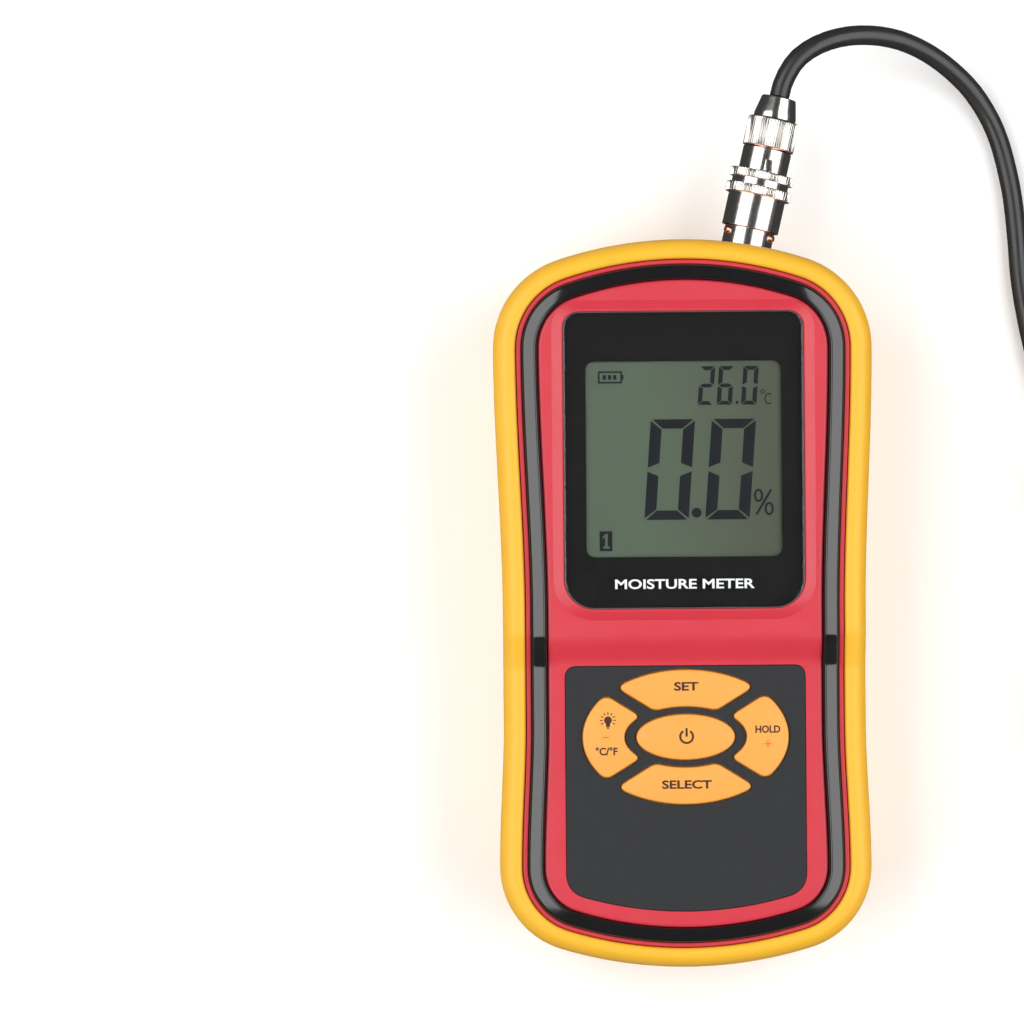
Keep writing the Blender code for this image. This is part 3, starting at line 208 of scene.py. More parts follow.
def window_material():
    """Clear acrylic that lets light fall straight through it to the display below."""
    sockets = {"Transmission Weight": 1.0, "IOR": ACRYLIC_IOR, "Roughness": 0.0}
    made, tree, shader = new_material("clear_window", sockets)
    tint = blended(tree, noise(tree, 9 * MM), (0.93, 0.95, 0.94, 1.0), (0.95, 0.97, 0.96, 1.0))
    tree.links.new(tint, shader.inputs["Base Color"])
    clear = tree.nodes.new("ShaderNodeBsdfTransparent")
    clear.inputs["Color"].default_value = (0.94, 0.96, 0.95, 1.0)
    path = tree.nodes.new("ShaderNodeLightPath")
    mix = tree.nodes.new("ShaderNodeMixShader")
    tree.links.new(path.outputs["Is Shadow Ray"], mix.inputs[0])
    tree.links.new(shader.outputs["BSDF"], mix.inputs[1])
    tree.links.new(clear.outputs["BSDF"], mix.inputs[2])
    output = tree.nodes["Material Output"]
    tree.links.new(mix.outputs["Shader"], output.inputs["Surface"])
    return made


def lcd_material():
    """Grey-green display glass, a little browner towards its right edge."""
    made, tree, shader = new_material("lcd_grey", {"Roughness": 0.4, "Specular IOR Level": 0.15})
    place = tree.nodes.new("ShaderNodeTexCoord")
    split = tree.nodes.new("ShaderNodeSeparateXYZ")
    tree.links.new(place.outputs["Object"], split.inputs["Vector"])
    share = ranged(tree, split.outputs["X"], 0.0, 1.0, -8 * MM, GLASS_HALF)
    base = blended(tree, share, scaled(srgb(79, 90, 76), 1.0), scaled(srgb(73, 75, 64), 1.0))
    tree.links.new(base, shader.inputs["Base Color"])
    return made


def make_looks():
    """Every material, by the name of its slot or look."""
    looks = {}

    def add(name, colour, roughness, **options):
        looks[name] = surface(name, colour, roughness, **options)

    def add_metal(name, colour, roughness, stretch=(1, 1, 1), metallic=1.0):
        """Polished metal with faint streaks drawn out along one way."""
        add(name, colour, roughness, mottle=0.03, gloss_change=0.15, mottle_size=3 * MM,
            grain_size=0.5 * MM, grain_height=0.0008 * MM, stretch=stretch, Metallic=metallic)

    add("boot_yellow", (0.86, 0.455, 0.022), 0.46, mottle=0.025, grain_size=0.22 * MM,
        grain_height=0.010 * MM)
    add("case_red", (0.60, 0.037, 0.056), 0.36, mottle=0.04, grain_size=0.16 * MM,
        grain_height=0.004 * MM)
    add("gloss_black", (0.009, 0.009, 0.010), 0.12, gloss_change=0.3, Specular_IOR_Level=0.8)
    add("print_black", (0.005, 0.0045, 0.0045), 0.5, gloss_change=0.2, Specular_IOR_Level=0.1)
    add("panel_grey", (0.021, 0.022, 0.024), 0.6, mottle=0.12, mottle_size=1.1 * MM,
        grain_size=0.26 * MM, grain_height=0.030 * MM, Specular_IOR_Level=0.3)
    add("key_amber", (0.86, 0.360, 0.060), 0.48, mottle=0.02, grain_size=0.3 * MM,
        grain_height=0.004 * MM)
    looks["clear_window"] = window_material()
    # Pinkish grey for the window's edge ring: a painted highlight in place of the light that the clear
    # acrylic edge catches.
    add("painted_lens_edge_highlight", (0.16, 0.085, 0.088), 0.3)
    looks["lcd_grey"] = lcd_material()
    add("diffuser_white", (0.8, 0.84, 0.8), 0.5, mottle=0.02)
    add("board_green", (0.02, 0.2, 0.07), 0.35, mottle=0.2, mottle_size=4 * MM)
    add("black_plastic", (0.022, 0.022, 0.024), 0.4, mottle=0.10, gloss_change=0.18,
        grain_size=0.24 * MM, grain_height=0.012 * MM)
    add_metal("nickel", (0.70, 0.68, 0.64), 0.18)
    add("copper_edge", (0.80, 0.42, 0.30), 0.28, Metallic=1.0)
    add_metal("brass", (0.75, 0.50, 0.22), 0.25)
    add_metal("steel", (0.76, 0.74, 0.72), 0.28, (1, 0.06, 1), 0.78)
    add_metal("screw_steel", (0.42, 0.42, 0.44), 0.3)
    add("battery_wrap", (0.1, 0.16, 0.28), 0.3, mottle=0.1)
    add("insulator_white", (0.82, 0.80, 0.74), 0.5, mottle=0.03)
    add("cord_black", (0.022, 0.023, 0.025), 0.3, mottle=0.15, gloss_change=0.25, grain_size=0.8 * MM,
        grain_height=0.010 * MM)
    add("wire_red", (0.6, 0.04, 0.05), 0.4)
    add("lcd_ink", (0.0060, 0.0070, 0.0105), 0.4, mottle=0.15, Specular_IOR_Level=0.2)
    add("caption_white", (0.80, 0.82, 0.82), 0.5, mottle=0.02)
    add("legend_brown", (0.050, 0.012, 0.008), 0.5, mottle=0.1)
    add("legend_red", (0.75, 0.10, 0.06), 0.5, mottle=0.05)
    add("floor", (0.90, 0.90, 0.90), 0.8, mottle=0.004, Emission_Color=(1.0, 1.0, 1.0, 1.0),
        Emission_Strength=0.12)
    return looks


# ---------------------------------------------------------------- meshes


def at_height(outline, z):
    return [Vector((p[0], p[1], z)) for p in outline]


def plain_cap(bm, row):
    bm.faces.new(row)


def strip_cap(bm, row):
    """Closes a loop that is symmetric about X with strips across it, which keeps a curved front smooth."""
    for i in range(len(row) // 2):
        corners = []
        for vert in (row[i], row[i + 1], row[-i - 1], row[-i]):
            if vert not in corners:
                corners.append(vert)
        bm.faces.new(corners)


def add_loft(bm, loops, cap=plain_cap, ring=False):
    """Skins a list of loops with the same number of points. ring joins the last loop to the first."""
    rows = [[bm.verts.new(p) for p in loop] for loop in loops]
    pairs = list(zip(rows, rows[1:]))
    if ring:
        pairs.append((rows[-1], rows[0]))
    count = len(rows[0])
    for low, high in pairs:
        for i in range(count):
            j = (i + 1) % count
            bm.faces.new((low[i], low[j], high[j], high[i]))
    if not ring:
        cap(bm, rows[0])
        cap(bm, rows[-1])


def add_prism(bm, outline, low, high):
    add_loft(bm, [at_height(outline, low), at_height(outline, high)])


def add_box(bm, x, y, z):
    add_prism(bm, [(x[0], y[0]), (x[1], y[0]), (x[1], y[1]), (x[0], y[1])], z[0], z[1])


def circle(radius, segments, centre=(0.0, 0.0)):
    return arc(centre, radius, 0, 2 * math.pi, segments)


def add_turned(bm, profile, segments=48, sweep=2 * math.pi, centre=(0.0, 0.0), start=0.0, wave=None):
    """Turns a profile of (radius, height) about the local Z axis.

    A profile whose ends are on the axis makes a solid. Any other profile is a closed section of a ring.
    wave, if given, moves a point in or out: wave(profile index, angle).
    """
    whole = sweep > 2 * math.pi - EPS
    steps = segments if whole else segments + 1
    columns = []
    for index, (radius, height) in enumerate(profile):
        if radius < EPS:
            columns.append([bm.verts.new((centre[0], centre[1], height))] * steps)
            continue
        column = []
        for i in range(steps):
            angle = start + sweep * i / segments
            reach = radius + (wave(index, angle) if wave else 0.0)
            column.append(bm.verts.new((centre[0] + reach * math.cos(angle),
                                        centre[1] + reach * math.sin(angle), height)))
        columns.append(column)
    on_axis = profile[0][0] < EPS and profile[-1][0] < EPS
    pairs = list(zip(columns, columns[1:]))
    if not on_axis:
        pairs.append((columns[-1], columns[0]))
    for first, second in pairs:
        for i in range(segments):
            j = (i + 1) % steps
            corners = []
            for vert in (first[i], first[j], second[j], second[i]):
                if vert not in corners:
                    corners.append(vert)
            if len(corners) > 2:
                bm.faces.new(corners)
    if not whole:
        bm.faces.new([column[0] for column in columns])
        bm.faces.new([column[-1] for column in columns])


def linked(name, data):
    """A new object in the scene."""
    obj = bpy.data.objects.new(name, data)
    bpy.context.scene.collection.objects.link(obj)
    return obj


def new_object(name, bm):
    bmesh.ops.recalc_face_normals(bm, faces=bm.faces)
    mesh = bpy.data.meshes.new(name)
    bm.to_mesh(mesh)
    bm.free()
    return linked(name, mesh)


def shape(add, *args, **options):
    """A new mesh with one shape in it."""
    bm = bmesh.new()
    add(bm, *args, **options)
    return bm


def flattened(obj):
    """The mesh of an object as its modifiers or its lettering make it."""
    bpy.context.view_layer.update()
    graph = bpy.context.evaluated_depsgraph_get()
    return bpy.data.meshes.new_from_object(obj.evaluated_get(graph))


def bake(obj):
    """Makes an object's modifiers part of its mesh."""
    mesh = flattened(obj)
    obj.modifiers.clear()
    obj.data = mesh


def combine(obj, bm, operation="DIFFERENCE"):
    """Cuts a mesh away from a piece, or joins it on."""
    tool = new_object("tool", bm)
    modifier = obj.modifiers.new("combine", "BOOLEAN")
    modifier.operation = operation
    modifier.object = tool
    modifier.solver = "EXACT"
    bake(obj)
    bpy.data.objects.remove(tool)


def bore(obj, profile, segments, matrix):
    """Cuts a turned profile, in millimetres, away from a piece."""
    bm = shape(add_turned, in_mm(profile), segments)
    bmesh.ops.transform(bm, matrix=matrix, verts=bm.verts)
    combine(obj, bm)


def soften(obj, width):
    """Rounds a piece's sharp edges."""
    modifier = obj.modifiers.new("soften", "BEVEL")
    modifier.width = width
    modifier.segments = 2
    modifier.limit_method = "ANGLE"
    modifier.angle_limit = math.radians(30)
    modifier.harden_normals = False
    bake(obj)


def finish_piece(obj, look, body, replaces=(), slot=None, sharp=30, matrix=None):
    """Shades a piece, gives it its material and body, and hides the CAD nodes it stands for."""
    if matrix:
        obj.data.transform(matrix)
    obj.data.shade_smooth()
    obj.data.set_sharp_from_angle(angle=math.radians(sharp))
    obj.data.materials.clear()
    obj.data.materials.append(LOOKS[look])
    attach(obj, body)
    slot or look
    if replaces:
        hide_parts(*replaces)
    return obj


def piece(name, bm, look, body, **options):
    return finish_piece(new_object(name, bm), look, body, **options)


# ---------------------------------------------------------------- outlines


def arc(centre, radius, start, end, steps):
    """Points from one angle to another, without the last one."""
    return [
        (centre[0] + radius * math.cos(start + (end - start) * i / steps),
         centre[1] + radius * math.sin(start + (end - start) * i / steps))
        for i in range(steps)
    ]


def half_width(y):
    """Half width of the boot's side between its corners: straight at the waist, wider towards each end."""
    if y > WAIST_TOP_Y:
        share = (y - WAIST_TOP_Y) / (top_corner()[1] - WAIST_TOP_Y)
        wide = TOP_HALF_WIDTH
    elif y < WAIST_FOOT_Y:
        share = (WAIST_FOOT_Y - y) / (WAIST_FOOT_Y - foot_corner()[1])
        wide = FOOT_HALF_WIDTH
    else:
        return WAIST_HALF_WIDTH
    return WAIST_HALF_WIDTH + (wide - WAIST_HALF_WIDTH) * share * share * (3 - 2 * share)


def corner_centre(half, crown, corner):
    """A corner arc's centre and the angle that its crown arc spans: (x, drop from the end, angle)."""
    angle = math.asin((half - corner) / (crown - corner))
    return half - corner, crown - (crown - corner) * math.cos(angle), angle


def top_corner():
    x, drop, angle = corner_centre(TOP_HALF_WIDTH, TOP_CROWN_RADIUS, TOP_CORNER_RADIUS)
    return x, METER_LENGTH / 2 - drop, angle


def foot_corner():
    x, drop, angle = corner_centre(FOOT_HALF_WIDTH, FOOT_CROWN_RADIUS, FOOT_CORNER_RADIUS)
    return x, drop - METER_LENGTH / 2, angle


def side_heights(step):
    """The y values along a side, foot to top, with one on each edge of the ramp."""
    marks = [foot_corner()[1], RAMP_FOOT_Y, RAMP_TOP_Y, top_corner()[1]]
    places = []
    for low, high in zip(marks, marks[1:]):
        count = max(1, round((high - low) / step))
        places += [low + (high - low) * i / count for i in range(count)]
    return places


def meter_outline(inset=0.0, step=1.0 * MM):
    """The boot's outline moved inwards by inset, anticlockwise from the middle of the foot end.

    The sides move in further than the ends do, by a share of SIDE_GAIN.
    """
    half = METER_LENGTH / 2
    foot_x, foot_y, foot_angle = foot_corner()
    top_x, top_y, top_angle = top_corner()
    right = arc((0, FOOT_CROWN_RADIUS - half), FOOT_CROWN_RADIUS - inset,
                -QUARTER, foot_angle - QUARTER, CROWN_STEPS)
    right += arc((foot_x, foot_y), FOOT_CORNER_RADIUS - inset, foot_angle - QUARTER, 0, CORNER_STEPS)
    right += [(half_width(y) - inset, y) for y in side_heights(step)]
    right += arc((top_x, top_y), TOP_CORNER_RADIUS - inset, 0, QUARTER - top_angle, CORNER_STEPS)
    right += arc((0, half - TOP_CROWN_RADIUS), TOP_CROWN_RADIUS - inset,
                 QUARTER - top_angle, QUARTER, CROWN_STEPS)
    right.append((0, half - inset))
    narrower = 1 - SIDE_GAIN * inset / TOP_HALF_WIDTH
    right = [(x * narrower, y) for x, y in right]
    left = [(-x, y) for x, y in reversed(right[1:-1])]
    return right + left


def drop_at(y):
    """How far the front has dropped at a place along the meter."""
    share = (RAMP_TOP_Y - y) / (RAMP_TOP_Y - RAMP_FOOT_Y)
    return FRONT_STEP * min(1.0, max(0.0, share))


def soft_drop_at(y):
    """The same drop with its two bends rounded off."""
    share = drop_at(y) / FRONT_STEP
    return FRONT_STEP * share * share * (3 - 2 * share)


def stepped(inset, z, share=1.0, drop=drop_at):
    """The outline at an inset, at height z in the display zone and lower down the ramp."""
    return [Vector((x, y, z - share * drop(y))) for x, y in meter_outline(inset)]


def grown(outline, distance):
    """An outline, anticlockwise, with each side moved outwards by distance."""
    count = len(outline)
    moved = []
    for i, point in enumerate(outline):
        before, after = Vector(outline[i - 1]), Vector(outline[(i + 1) % count])
        here = Vector(point)
        first = (here - before).normalized()
        second = (after - here).normalized()
        normal_a, normal_b = Vector((first.y, -first.x)), Vector((second.y, -second.x))
        middle = (normal_a + normal_b).normalized()
        moved.append(tuple(here + middle * (distance / max(0.5, middle.dot(normal_a)))))
    return moved


def rounded_box(half_x, low_y, high_y, low_radius, high_radius, steps=8):
    outline = []
    low, high = (low_y + low_radius, low_radius), (high_y - high_radius, high_radius)
    for i, (side, (y, radius)) in enumerate(((1, low), (1, high), (-1, high), (-1, low))):
        end = i * QUARTER
        centre = (side * (half_x - radius), y)
        outline += arc(centre, radius, end - QUARTER, end, steps)
        outline.append((centre[0] + radius * math.cos(end), y + radius * math.sin(end)))
    return outline


def lens_outline():
    return rounded_box(LENS_HALF_WIDTH, LENS_FOOT_Y, LENS_TOP_Y, LENS_FOOT_RADIUS, LENS_TOP_RADIUS, 12)


def trimmed(points, start, end):
    """A polyline of 2D points shortened at each end by a length."""
    def shorten(line, length):
        line = [Vector(p) for p in line]
        while len(line) > 2 and (line[1] - line[0]).length <= length:
            length -= (line[1] - line[0]).length
            line.pop(0)
        line[0] = line[0] + (line[1] - line[0]).normalized() * length
        return line
    return shorten(shorten(points, start)[::-1], end)[::-1]


def eased(start, corner, end, t):
    """A place on the curve that rounds off a corner."""
    return tuple(start * (1 - t) ** 2 + corner * (2 * t * (1 - t)) + end * t * t)


def rounded_chain(curves, cuts, steps=8):
    """Joins curves end to end into one outline. Each corner is cut back by its cut and rounded."""
    count = len(curves)
    pieces = [trimmed(curve, cuts[i - 1], cuts[i]) for i, curve in enumerate(curves)]
    outline = []
    for i, part in enumerate(pieces):
        outline += [tuple(p) for p in part]
        corner = Vector(curves[i][-1])
        start, end = part[-1], pieces[(i + 1) % count][0]
        outline += [eased(start, corner, end, k / steps) for k in range(1, steps)]
    closest = 0.08 * MM
    return [p for i, p in enumerate(outline) if (Vector(p) - Vector(outline[i - 1])).length > closest]


def ellipse_arc(axes, start, end, steps=24):
    return [
        (axes[0] * math.cos(start + (end - start) * i / steps),
         axes[1] * math.sin(start + (end - start) * i / steps))
        for i in range(steps + 1)
    ]


def ellipse_angle(axes, offset):
    """The ellipse's own angle where a gap line, moved sideways by offset, crosses it."""
    along = Vector((math.cos(KEY_SECTOR_ANGLE), math.sin(KEY_SECTOR_ANGLE)))
    across = Vector((-along.y, along.x)) * offset
    a = (along.x / axes[0]) ** 2 + (along.y / axes[1]) ** 2
    b = 2 * (along.x * across.x / axes[0] ** 2 + along.y * across.y / axes[1] ** 2)
    c = (across.x / axes[0]) ** 2 + (across.y / axes[1]) ** 2 - 1
    t = (-b + math.sqrt(b * b - 4 * a * c)) / (2 * a)
    point = along * t + across
    return math.atan2(point.y / axes[1], point.x / axes[0])


def long_key():
    """The upper key: between the gap lines, inside the outer ellipse and outside the inner one."""
    outer = ellipse_angle(KEY_OUTER, KEY_HALF_GAP)
    inner = ellipse_angle(KEY_INNER, KEY_HALF_GAP)
    top = ellipse_arc(KEY_OUTER, outer, math.pi - outer)
    foot = ellipse_arc(KEY_INNER, math.pi - inner, inner)
    cuts = (2.2 * MM, 1.3 * MM, 1.3 * MM, 2.2 * MM)
    return rounded_chain([top, [top[-1], foot[0]], foot, [foot[-1], top[0]]], cuts)


def side_key():
    """The right key, shaped as the long key is, but below the gap line."""
    outer = ellipse_angle(KEY_OUTER, -KEY_HALF_GAP)
    inner = ellipse_angle(KEY_INNER, -KEY_HALF_GAP)
    far = ellipse_arc(KEY_OUTER, -outer, outer)
    near = ellipse_arc(KEY_INNER, inner, -inner)
    cuts = (1.8 * MM, 1.8 * MM, 1.8 * MM, 1.8 * MM)
    return rounded_chain([far, [far[-1], near[0]], near, [near[-1], far[0]]], cuts)


def mirrored(outline, x=1, y=1):
    """The outline mirrored, and still anticlockwise."""
    moved = [(x * a, y * b) for a, b in outline]
    return moved[::-1] if x * y < 0 else moved


def key_outlines():
    """Each key's outline in the meter's frame."""
    shapes = {
        "set": long_key(),
        "select": mirrored(long_key(), y=-1),
        "hold": side_key(),
        "light": mirrored(side_key(), x=-1),
        "power": ellipse_arc(POWER_KEY, 0, 2 * math.pi, 64)[:-1],
    }
    return {name: [(x, y + KEYS_CENTRE_Y) for x, y in key] for name, key in shapes.items()}


def panel_outline():
    """The keypad panel: straight sides and a foot edge that follows the boot's crown."""
    sag = PANEL_SIDE_FOOT_Y - PANEL_FOOT_Y
    radius = (PANEL_HALF_WIDTH ** 2 + sag ** 2) / (2 * sag)
    centre = (0, PANEL_FOOT_Y + radius)
    swing = math.asin(PANEL_HALF_WIDTH / radius)
    foot = arc(centre, radius, -QUARTER - swing, swing - QUARTER, 24)
    foot.append((PANEL_HALF_WIDTH, PANEL_SIDE_FOOT_Y))
    right = [(PANEL_HALF_WIDTH, PANEL_SIDE_FOOT_Y), (PANEL_HALF_WIDTH, PANEL_TOP_Y)]
    top = [(PANEL_HALF_WIDTH, PANEL_TOP_Y), (-PANEL_HALF_WIDTH, PANEL_TOP_Y)]
    left = [(-PANEL_HALF_WIDTH, PANEL_TOP_Y), (-PANEL_HALF_WIDTH, PANEL_SIDE_FOOT_Y)]
    cuts = (4.0 * MM, 2.6 * MM, 2.6 * MM, 4.0 * MM)
    return rounded_chain([foot, right, top, left], cuts)


def axis_matrix(place, axis, right):
    """Local Z along an axis and local X to its right."""
    turn = Matrix((right, axis.cross(right), axis)).transposed()
    return Matrix.Translation(place) @ turn.to_4x4()


def connector_matrix():
    """Local Z along the socket's axis, local X to its right and local Y down."""
    sine, cosine = math.sin(SOCKET_LEAN), math.cos(SOCKET_LEAN)
    return axis_matrix(SOCKET_AT, Vector((sine, cosine, 0)), Vector((cosine, -sine, 0)))


def probe_matrix():
    """Local Z along the probe towards its lead. The collar and the prongs' shoulders touch the surface."""
    reach = PRONG_LENGTH - CONE_LENGTH + COLLAR_AT
    tilt = math.asin((COLLAR_REACH - PRONG_RADIUS) / reach)
    axis = Vector((0, math.cos(tilt), math.sin(tilt)))
    height = COLLAR_REACH * math.cos(tilt) - COLLAR_AT * math.sin(tilt) + 0.05 * MM
    return axis_matrix((PROBE_X, PROBE_Y, height), axis, Vector((1, 0, 0)))


def in_mm(profile):
    return [(a * MM, b * MM) for a, b in profile]


# ---------------------------------------------------------------- boot and case


def rounded_profile(corners, radius, steps=5):
    """A profile of 2D points, in millimetres, with each inner corner rounded by about a radius."""
    made = [corners[0]]
    for before, here, after in zip(corners, corners[1:], corners[2:]):
        a, b, c = Vector(before), Vector(here), Vector(after)
        cut = min(radius, (a - b).length * 0.45, (c - b).length * 0.45)
        start, end = b + (a - b).normalized() * cut, b + (c - b).normalized() * cut
        made += [eased(start, b, end, k / steps) for k in range(steps + 1)]
    made.append(corners[-1])
    return made


def rib_depth(x, y, z):
    """Depth of the grip grooves that cross the boot's side near its back."""
    first, pitch, count, half = -46.0 * MM, 7.4 * MM, 10, 1.1 * MM
    if abs(x) < 36 * MM or not first - half < y < first + pitch * (count - 1) + half:
        return 0.0
    across = abs((y - first + pitch / 2) % pitch - pitch / 2) / half
    along = abs(z - 10.5 * MM) / (4.5 * MM)
    if across >= 1 or along >= 1:
        return 0.0
    return 0.55 * MM * (1 - across ** 2) * (1 - along ** 4)


def boot_loops():
    """The boot's section: inner wall, the lip that curls over the case, side wall and back."""
    inner = [(5.3, 2.2, 0.0), (2.6, 7.2, 0.0), (2.6, 34.9, 1.0), (4.45, 34.9, 1.0)]
    lip = [(4.45, 36.1), (4.35, 36.5), (4.1, 36.75), (3.7, 36.92), (3.2, 37.0), (2.65, 36.98),
           (2.1, 36.82), (1.6, 36.52), (1.15, 36.1), (0.75, 35.55), (0.42, 34.85), (0.18, 34.0),
           (0.04, 33.0), (0.0, 31.8)]
    side = [(0.0, 28.0, 0.85), (0.0, 22.0, 0.45), (0.0, 16.5, 0.15)]
    side += [(0.0, 15.5 - i, 0.0) for i in range(10)]
    back = [(5.8 - 5.8 * math.cos(t), 6.0 - 6.0 * math.sin(t), 0.0)
            for t in (QUARTER * i / 8 for i in range(1, 9))]
    for inset, z, share in inner + [(a, b, 1.0) for a, b in lip] + side + back:
        loop = stepped(inset * MM, z * MM, share)
        middle = sum(loop, Vector()) / len(loop)
        for point in loop:
            if inset < 1.0:
                point.x -= math.copysign(rib_depth(point.x, point.y, point.z), point.x - middle.x)
        yield loop


def window_outline(low, high):
    """The part of the boot's back window between two heights along the meter."""
    inset = 9.0 * MM
    edge = [p for p in meter_outline(inset, 4 * MM) if low < p[1] < high]
    if high < METER_LENGTH / 2:
        edge += [(half_width(high) - inset, high), (inset - half_width(high), high)]
    if low > -METER_LENGTH / 2:
        edge += [(half_width(low) - inset, low), (inset - half_width(low), low)]
    middle = (min(p[1] for p in edge) + max(p[1] for p in edge)) / 2
    return sorted(edge, key=lambda p: math.atan2(p[1] - middle, p[0]))


def make_boot(connector):
    """Rubber boot with two windows in its back and a hole for the socket."""
    boot = new_object("boot_rubber", shape(add_loft, list(boot_loops()), strip_cap))
    for low, high in ((-METER_LENGTH, -6.0 * MM), (8.0 * MM, METER_LENGTH)):
        combine(boot, shape(add_prism, window_outline(low, high), -3 * MM, 5 * MM))
    bore(boot, [(0, -12), (6.7, -12), (6.7, 12), (0, 12)], 48, connector)
    finish_piece(boot, "boot_yellow", "meter", replaces=("boot",), sharp=40)


def front_loops():
    """The front case's section, from the flange under the boot's lip to the red face."""
    hidden = [(4.9, 33.4, 1.0), (4.9, 11.3, 0.0), (2.9, 11.3, 0.0), (2.9, 34.6, 1.0), (4.65, 34.6, 1.0)]
    for inset, z, share in hidden:
        yield stepped(inset * MM, z * MM, share)
    for inset, z in ((4.65, 36.2), (4.72, 36.45), (4.9, 36.6), (5.35, 36.6), (5.53, 36.52), (5.6, 36.35),
                     (5.6, 35.2), (9.0, 35.2)):
        yield stepped(inset * MM, z * MM)
    for inset, z in ((9.0, 36.5), (9.05, 36.8), (9.2, 37.02), (9.45, 37.15), (9.8, 37.2)):
        yield stepped(inset * MM, z * MM, drop=soft_drop_at)


def make_front_case(connector):
    """Front shell, raised round the window, with openings for the window, keypad and socket."""
    case = new_object("front_shell", shape(add_loft, list(front_loops()), strip_cap))
    lens = lens_outline()
    rise = ((2.75, 36.9), (2.55, 37.16), (2.3, 37.3), (0.75, 37.86), (0.5, 37.97), (0.3, 38.0))
    loops = [at_height(grown(lens, grow * MM), z * MM) for grow, z in rise]
    combine(case, shape(add_loft, loops), "UNION")
    oval = [(x, y + KEYS_CENTRE_Y) for x, y in
            ellipse_arc((KEY_OUTER[0] + 1.1 * MM, KEY_OUTER[1] + 0.8 * MM), 0, 2 * math.pi, 64)[:-1]]
    opening = rounded_box(24.5 * MM, GLASS_CENTRE_Y - 24.5 * MM, GLASS_CENTRE_Y + 24.5 * MM, MM, MM)
    seam = 0.12 * MM
    for outline, low, high in (
        (grown(lens, seam), LENS_TOP_Z - LENS_THICKNESS - 0.5 * MM, 45 * MM),
        (opening, 31 * MM, 37 * MM),
        (grown(panel_outline(), seam), PANEL_TOP_Z - PANEL_THICKNESS - 0.2 * MM, 45 * MM),
        (oval, 26 * MM, 35 * MM),
    ):
        combine(case, shape(add_prism, outline, low, high))
    bore(case, [(0, -12), (5.0, -12), (5.0, 6), (0, 6)], 32, connector)
    finish_piece(case, "case_red", "meter", replaces=("front_case",), sharp=28)


def make_trim():
    """Gloss black trim in the groove round the front. Its top is a facet that leans outwards."""
    corners = [(5.75, 35.35), (5.75, 37.3), (6.15, 37.75), (8.35, 38.35), (8.85, 37.9), (8.85, 35.35)]
    profile = rounded_profile(corners, 0.2)
    bm = shape(add_loft, [stepped(inset * MM, z * MM) for inset, z in profile], ring=True)
    piece("trim_band", bm, "gloss_black", "meter", replaces=("trim_ring",), sharp=50)


def softened_copy(node, look, body, width, name):
    """A CAD node's shape with its edges rounded."""
    source = frame["nodes"][node]
    bm = bmesh.new()
    bm.from_mesh(source.data)
    bmesh.ops.remove_doubles(bm, verts=bm.verts, dist=0.01 * MM)
    bmesh.ops.dissolve_limit(bm, angle_limit=math.radians(2), verts=bm.verts, edges=bm.edges)
    obj = new_object(name, bm)
    soften(obj, width)
    return finish_piece(obj, look, body, replaces=(node,), sharp=40)


def make_back():
    softened_copy("rear_case", "case_red", "meter", 0.25 * MM, "rear_shell")
    softened_copy("battery_door", "case_red", "door", 0.2 * MM, "door_plate")


# ---------------------------------------------------------------- display


def add_stroke(bm, points, width, low, high):
    """A flat line of a width through 2D points."""
    places = [Vector(p) for p in points]
    left, right = [], []
    for i, here in enumerate(places):
        before = places[max(0, i - 1)]
        after = places[min(len(places) - 1, i + 1)]
        along = (after - before).normalized()
        across = Vector((-along.y, along.x)) * (width / 2)
        left.append(here + across)
        right.append(here - across)
    add_prism(bm, [tuple(p) for p in right + left[::-1]], low, high)


def add_outline_ring(bm, outline, width, low, high):
    """A flat ring whose middle line is an outline."""
    outer, inner = grown(outline, width / 2), grown(outline, -width / 2)
    corners = ((inner, low), (outer, low), (outer, high), (inner, high))
    add_loft(bm, [at_height(*corner) for corner in corners], ring=True)


def digit_segments(width, height, upright, level, gap):
    """The seven segments of a digit about its own centre, a to g, as outlines."""
    half_w, half_h, shift = width / 2, height / 2, gap * 0.72
    top = [(-half_w + shift, half_h), (half_w - shift, half_h),
           (half_w - upright - shift * 0.5, half_h - level),
           (upright + shift * 0.5 - half_w, half_h - level)]
    side = [(half_w, half_h - shift), (half_w - upright, half_h - level - shift * 0.6),
            (half_w - upright, gap / 2 + level * 0.5 + gap * 0.4), (half_w, gap * 0.9)]
    middle = [(-half_w + gap, 0), (upright - half_w, level / 2), (half_w - upright, level / 2),
              (half_w - gap, 0), (half_w - upright, -level / 2), (upright - half_w, -level / 2)]
    return {
        "a": top, "b": side, "c": mirrored(side, y=-1), "d": mirrored(top, y=-1),
        "e": mirrored(side, x=-1, y=-1), "f": mirrored(side, x=-1), "g": middle,
    }


def add_digit(bm, centre, size, strokes, names, low, high):
    """A digit of the display that leans to the right."""
    lean = math.tan(math.radians(4.2))
    for name, outline in digit_segments(*size, *strokes).items():
        if name in names:
            moved = [(centre[0] + x + lean * y, centre[1] + y) for x, y in outline]
            add_prism(bm, moved, low, high)


